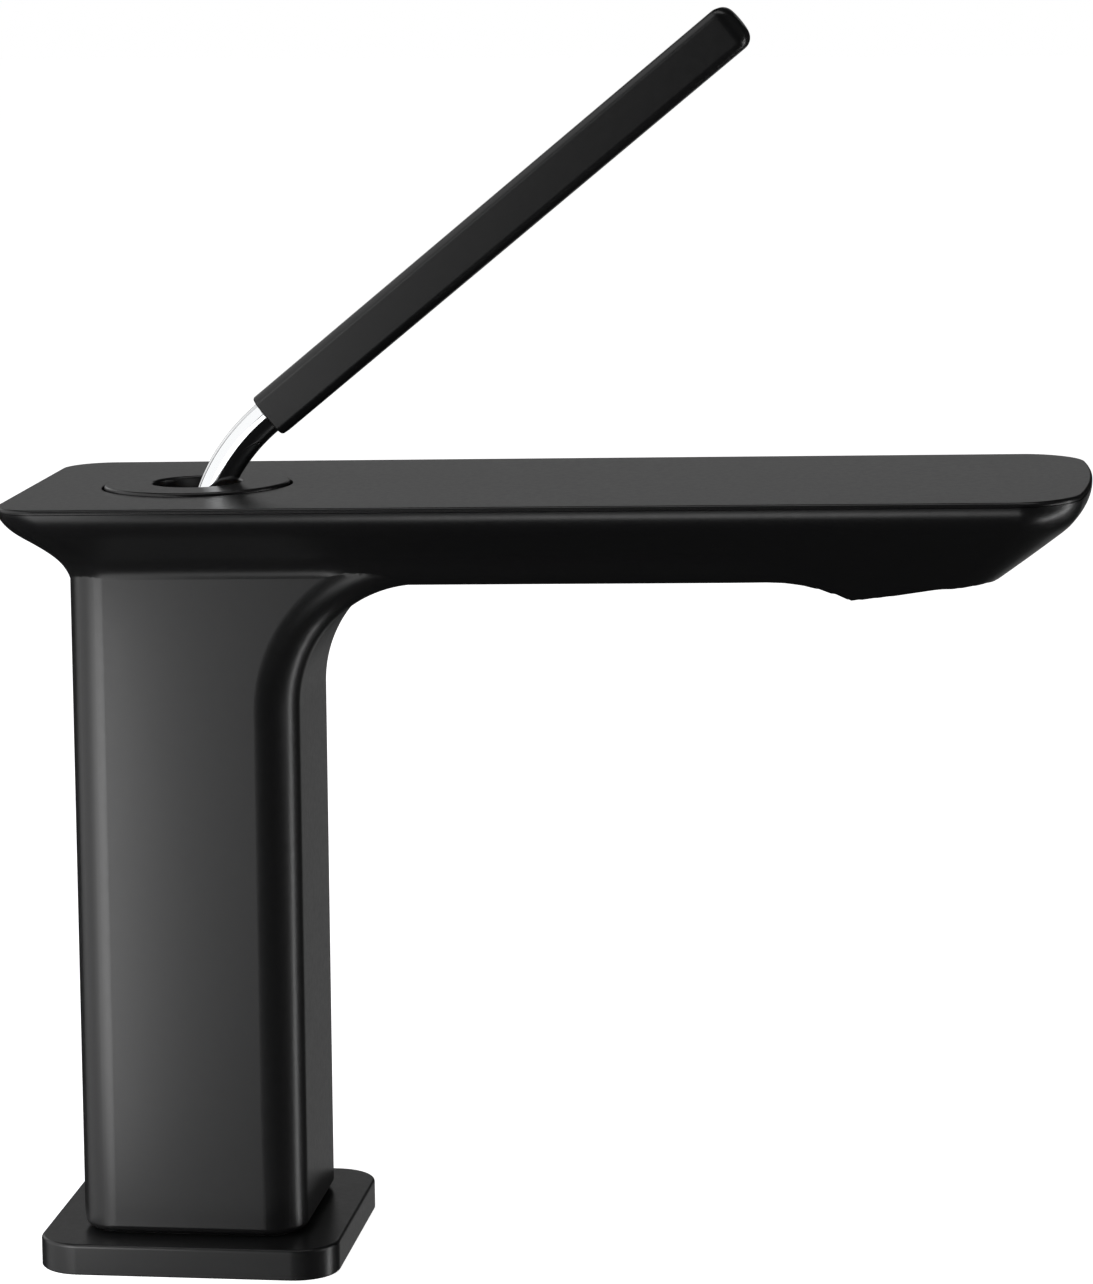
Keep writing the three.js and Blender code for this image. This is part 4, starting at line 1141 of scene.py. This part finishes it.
class MixerBuildFixings(bpy.types.Operator):
    """Build the threaded studs, nuts, washers and clamp under the deck"""

    bl_idname = "mixer.build_fixings"
    bl_label = "Deck fixings"

    def execute(self, context):
        sizes = context.scene.mixer_fixing
        radius, depth, pitch = sizes.stud_radius, sizes.thread_depth, sizes.thread_pitch
        root, ease = radius - depth * STUD_SINK, STUD_EASE
        for end in ("back", "front"):
            low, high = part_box("stud_" + end)
            middle = (low + high) / 2
            place = Matrix.Translation((middle.x, middle.y, 0))
            core = [(0, low.z), (root - ease, low.z), (root, low.z + ease), (root, high.z - ease)]
            core += [(root - ease, high.z), (0, high.z)]
            core = lathe("core", core, 24)
            turns = int((high.z - low.z - STUD_CLEAR * pitch) / pitch)
            points = [(0, 0, low.z + (i + 1) * pitch) for i in range(turns)]
            turn = thread_turn(radius, depth, pitch)
            thread = repeated("thread", turn, points, [(0, 0, 0)] * turns, FINISHES["steel"], 1e-6)
            stud = moved(joined("threaded_stud_" + end, [core, thread]), place)
            finished(shaded(stud, 50), "faucet_body", "steel", "stud_" + end)

            low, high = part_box("nut_" + end)
            nut = hex_nut("deck_nut_" + end, NUT_HALF, NUT_BORE, low.z, high.z, place)
            finished(shaded(nut, 20), "faucet_body", "brass", "nut_" + end)

            low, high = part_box("spring_washer_" + end)
            ring = spring_ring("spring_ring_" + end, NUT_BORE, SPRING_OUTER, low.z, high.z, place)
            finished(shaded(ring), "faucet_body", "steel", "spring_washer_" + end)
        finish_copies(FIXING_NODES)
        return {"FINISHED"}


# ---- cartridge

class MixerBuildCartridge(bpy.types.Operator):
    """Build the cartridge's mouldings, discs and seals with eased edges"""

    bl_idname = "mixer.build_cartridge"
    bl_label = "Cartridge"

    def execute(self, context):
        finish_copies(CARTRIDGE_NODES)
        rings = ["seal_hot", "seal_cold", "cartridge_o_ring", "rosette_o_ring"]
        rings += [f"{water}_riser_o_ring_{end}" for water in ("hot", "cold") for end in ("lower", "upper")]
        tilt = HEAD.to_quaternion().to_matrix().to_4x4()
        for node in rings:
            low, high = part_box(node)
            upright = "riser" in node
            wire = (high.z - low.z) / 2
            if not upright:
                wire -= abs(SWIVEL_AXIS.x) * (high.x - low.x) / 2
            radius = (high.y - low.y) / 2 - wire
            place = Matrix.Translation((low + high) / 2)
            place = place if upright else place @ tilt
            seal = torus(node + "_round", radius, wire, place)
            finished(shaded(seal), "faucet_body", "rubber", node)
        return {"FINISHED"}


# ---- finishes of the pieces kept from the frame

class MixerFinishKept(bpy.types.Operator):
    """Give every piece kept from the frame its finish"""

    bl_idname = "mixer.finish_kept"
    bl_label = "Inner pieces"

    def execute(self, context):
        slots = {part["node"]: part["material_slot"] for part in frame["record"]["subparts"]}
        for name, obj in frame["nodes"].items():
            material = FINISHES[slots[name]]
            if not obj.material_slots:
                obj.data.materials.append(material)
            for entry in obj.material_slots:
                entry.material = material
        return {"FINISHED"}


# ---- stage

class MixerStage(bpy.types.PropertyGroup):
    """Brightness of each light, where 1 is the white of the surround."""

    front: glow("Front softbox", "Softbox beside the camera on its left", 2.1)
    left: glow("Left softbox", "Large softbox on the left", 1.1)
    near: glow("Near panel", "Small panel close to the column's left", 1.9)
    right: glow("Right fill", "Large dim panel on the right", 0.04)
    over: glow("Overhead light", "Softbox above, mirrored in the rim of the top", 2)
    wall: glow("Back wall", "Wide dim panel behind, mirrored in the top face", 0.38)
    edge: glow("Edge strip", "Narrow strip on the right", 6)
    low: glow("Low panel", "Panel in front, under the floor's level", 3)
    kicker: glow("Kicker", "Softbox behind on the left, for the unseen sides", 0.8)
    ambient: glow("Ambient", "The room round the object", 0.006)


CAMERA_TURN, CAMERA_PITCH, CAMERA_ROLL = (math.radians(angle) for angle in (6.784, 8.849, -0.421))
CAMERA_DISTANCE = 923.9 * MM
CAMERA_AIM = Vector((75.03 * MM, 0, 131.22 * MM))
CAMERA_LENS, CAMERA_SENSOR, CAMERA_SHIFT = 131.47, 36, (-0.0216, -0.0323)
FLOOR_REACH = 6
# light: its brightness setting and share of it, width and height, place, aim
LIGHTS = {
    "front_left": ("front", 1, (0.52, 0.75), (-0.46, -1.05, 0.05), (0, 0, 0.1)),
    "left": ("left", 1, (1.5, 1.7), (-0.86, -0.28, 0.45), (0, 0.02, 0.25)),
    "near": ("near", 1, (0.22, 0.13), (-0.145, -0.12, 0.055), (-0.145, 0, 0.055)),
    "over": ("over", 1, (0.9, 0.35), (0.1, -0.1, 1.1), (0.1, -0.05, 0.15)),
    "wall": ("wall", 1, (1.3, 0.3), (-0.35, 1.2, 0.42), (0, 0, 0.15)),
    "low_wall": ("wall", 0.8, (0.3, 0.5), (0.26, 1.2, -0.24), (0.02, 0, 0.08)),
    "edge": ("edge", 1, (0.07, 0.9), (0.6, 0.12, -0.08), (0.02, 0, 0.1)),
    "tip": ("edge", 1, (0.22, 0.1), (0.72, -0.08, 0.16), (0.17, 0, 0.16)),
    "right": ("right", 1, (1.2, 1.4), (1.0, -0.2, 0.4), (0, 0, 0.2)),
    "low": ("low", 1, (0.25, 0.2), (0.04, -0.42, -0.36), (0.04, 0, 0.14)),
    "kicker": ("kicker", 1, (0.7, 0.7), (-0.8, 0.8, 0.55), (0, 0, 0.1)),
}
NEAR_SPREAD = math.radians(125)


def camera_place():
    """Where the camera stands and how it is turned towards its aim."""
    back = Vector((
        math.sin(CAMERA_TURN) * math.cos(CAMERA_PITCH),
        -math.cos(CAMERA_TURN) * math.cos(CAMERA_PITCH),
        math.sin(CAMERA_PITCH),
    ))
    level = Vector((math.cos(CAMERA_TURN), math.sin(CAMERA_TURN), 0))
    upright = back.cross(level)
    c, s = math.cos(CAMERA_ROLL), math.sin(CAMERA_ROLL)
    right = level * c + upright * s
    up = upright * c - level * s
    place = Matrix((right, up, back)).transposed().to_4x4()
    place.translation = CAMERA_AIM + back * CAMERA_DISTANCE
    return place


def softbox(name, brightness, width, height, position, target):
    """A rectangular softbox that the camera doesn't see itself."""
    data = bpy.data.lights.new(name, "AREA")
    data.shape = "RECTANGLE"
    data.size, data.size_y = width, height
    data.energy = brightness * math.pi * width * height
    obj = bpy.data.objects.new(name, data)
    obj.location = position
    obj.rotation_euler = (Vector(target) - Vector(position)).to_track_quat("-Z", "Y").to_euler()
    obj.visible_camera = False
    bpy.context.scene.collection.objects.link(obj)
    return obj


def studio_world(ambient):
    """A white surround for the camera, and a dim room for everything else."""
    world = bpy.data.worlds.new("studio")
    world.use_nodes = True
    tree = world.node_tree
    background = tree.nodes["Background"]
    background.inputs["Color"].default_value = (1, 1, 1, 1)
    path = tree.nodes.new("ShaderNodeLightPath")
    strength = linked(tree, "ShaderNodeMapRange", **{"To Min": ambient, "To Max": 1.0})
    tree.links.new(path.outputs["Is Camera Ray"], strength.inputs["Value"])
    tree.links.new(strength.outputs["Result"], background.inputs["Strength"])
    return world


def studio_floor(color):
    """A pale floor that is bright by itself, so that it stays plain."""
    material = shader("studio_floor", color, 0.8, specular=0.1)
    principled = material.node_tree.nodes["Principled BSDF"]
    principled.inputs["Emission Color"].default_value = (1, 1, 1, 1)
    principled.inputs["Emission Strength"].default_value = 1.0
    corners = [(x * FLOOR_REACH, y * FLOOR_REACH, 0) for x, y in ((-1, -1), (1, -1), (1, 1), (-1, 1))]
    floor = mesh_object("floor", corners, [(0, 1, 2, 3)])
    floor.data.materials.append(material)
    floor.visible_glossy = False
    floor.visible_diffuse = False
    floor.visible_shadow = False


class MixerBuildStage(bpy.types.Operator):
    """Set up the camera, the floor and soft studio light"""

    bl_idname = "mixer.build_stage"
    bl_label = "Stage"

    def execute(self, context):
        scene = context.scene
        light = scene.mixer_stage
        data = bpy.data.cameras.new("camera")
        data.lens, data.sensor_width = CAMERA_LENS, CAMERA_SENSOR
        data.shift_x, data.shift_y = CAMERA_SHIFT
        camera = bpy.data.objects.new("camera", data)
        camera.matrix_world = camera_place()
        scene.collection.objects.link(camera)
        scene.camera = camera
        scene.view_settings.view_transform = "Standard"
        scene.world = studio_world(light.ambient)
        studio_floor(scene.mixer_colours.floor)
        for name, (setting, share, extent, place, aim) in LIGHTS.items():
            panel = softbox(name, getattr(light, setting) * share, *extent, place, aim)
            if name == "near":
                panel.data.spread = NEAR_SPREAD
        return {"FINISHED"}


# ---- panel and registration

BUILD_STEPS = (
    MixerBuildBody, MixerBuildPlate, MixerBuildRosette, MixerBuildStem, MixerBuildGrip,
    MixerBuildOutlet, MixerBuildFixings, MixerBuildCartridge, MixerFinishKept, MixerBuildStage,
)


class MixerPanel(bpy.types.Panel):
    """Lists the mixer's sizes, colours and build steps"""

    bl_idname = "MIXER_PT_build"
    bl_label = "Basin Mixer"
    bl_space_type = "VIEW_3D"
    bl_region_type = "UI"
    bl_category = "Mixer"

    def draw(self, context):
        for name in SETTINGS:
            box = self.layout.box()
            group = getattr(context.scene, name)
            for key in group.__annotations__:
                box.prop(group, key)
        for step in BUILD_STEPS:
            self.layout.operator(step.bl_idname)


SETTINGS = {
    "mixer_body": MixerBodySizes,
    "mixer_trim": MixerTrimSizes,
    "mixer_lever": MixerLeverSizes,
    "mixer_fixing": MixerFixingSizes,
    "mixer_colours": MixerColours,
    "mixer_stage": MixerStage,
}


def register():
    for group in SETTINGS.values():
        bpy.utils.register_class(group)
    for kind in (*BUILD_STEPS, MixerPanel):
        bpy.utils.register_class(kind)
    for name, group in SETTINGS.items():
        setattr(bpy.types.Scene, name, PointerProperty(type=group))


def unregister():
    for name in SETTINGS:
        delattr(bpy.types.Scene, name)
    for kind in (MixerPanel, *reversed(BUILD_STEPS), *reversed(SETTINGS.values())):
        bpy.utils.unregister_class(kind)


def main():
    register()
    make_finishes(bpy.context.scene.mixer_colours)
    for step in BUILD_STEPS:
        space, name = step.bl_idname.split(".")
        getattr(getattr(bpy.ops, space), name)()


if __name__ == "__main__":
    main()
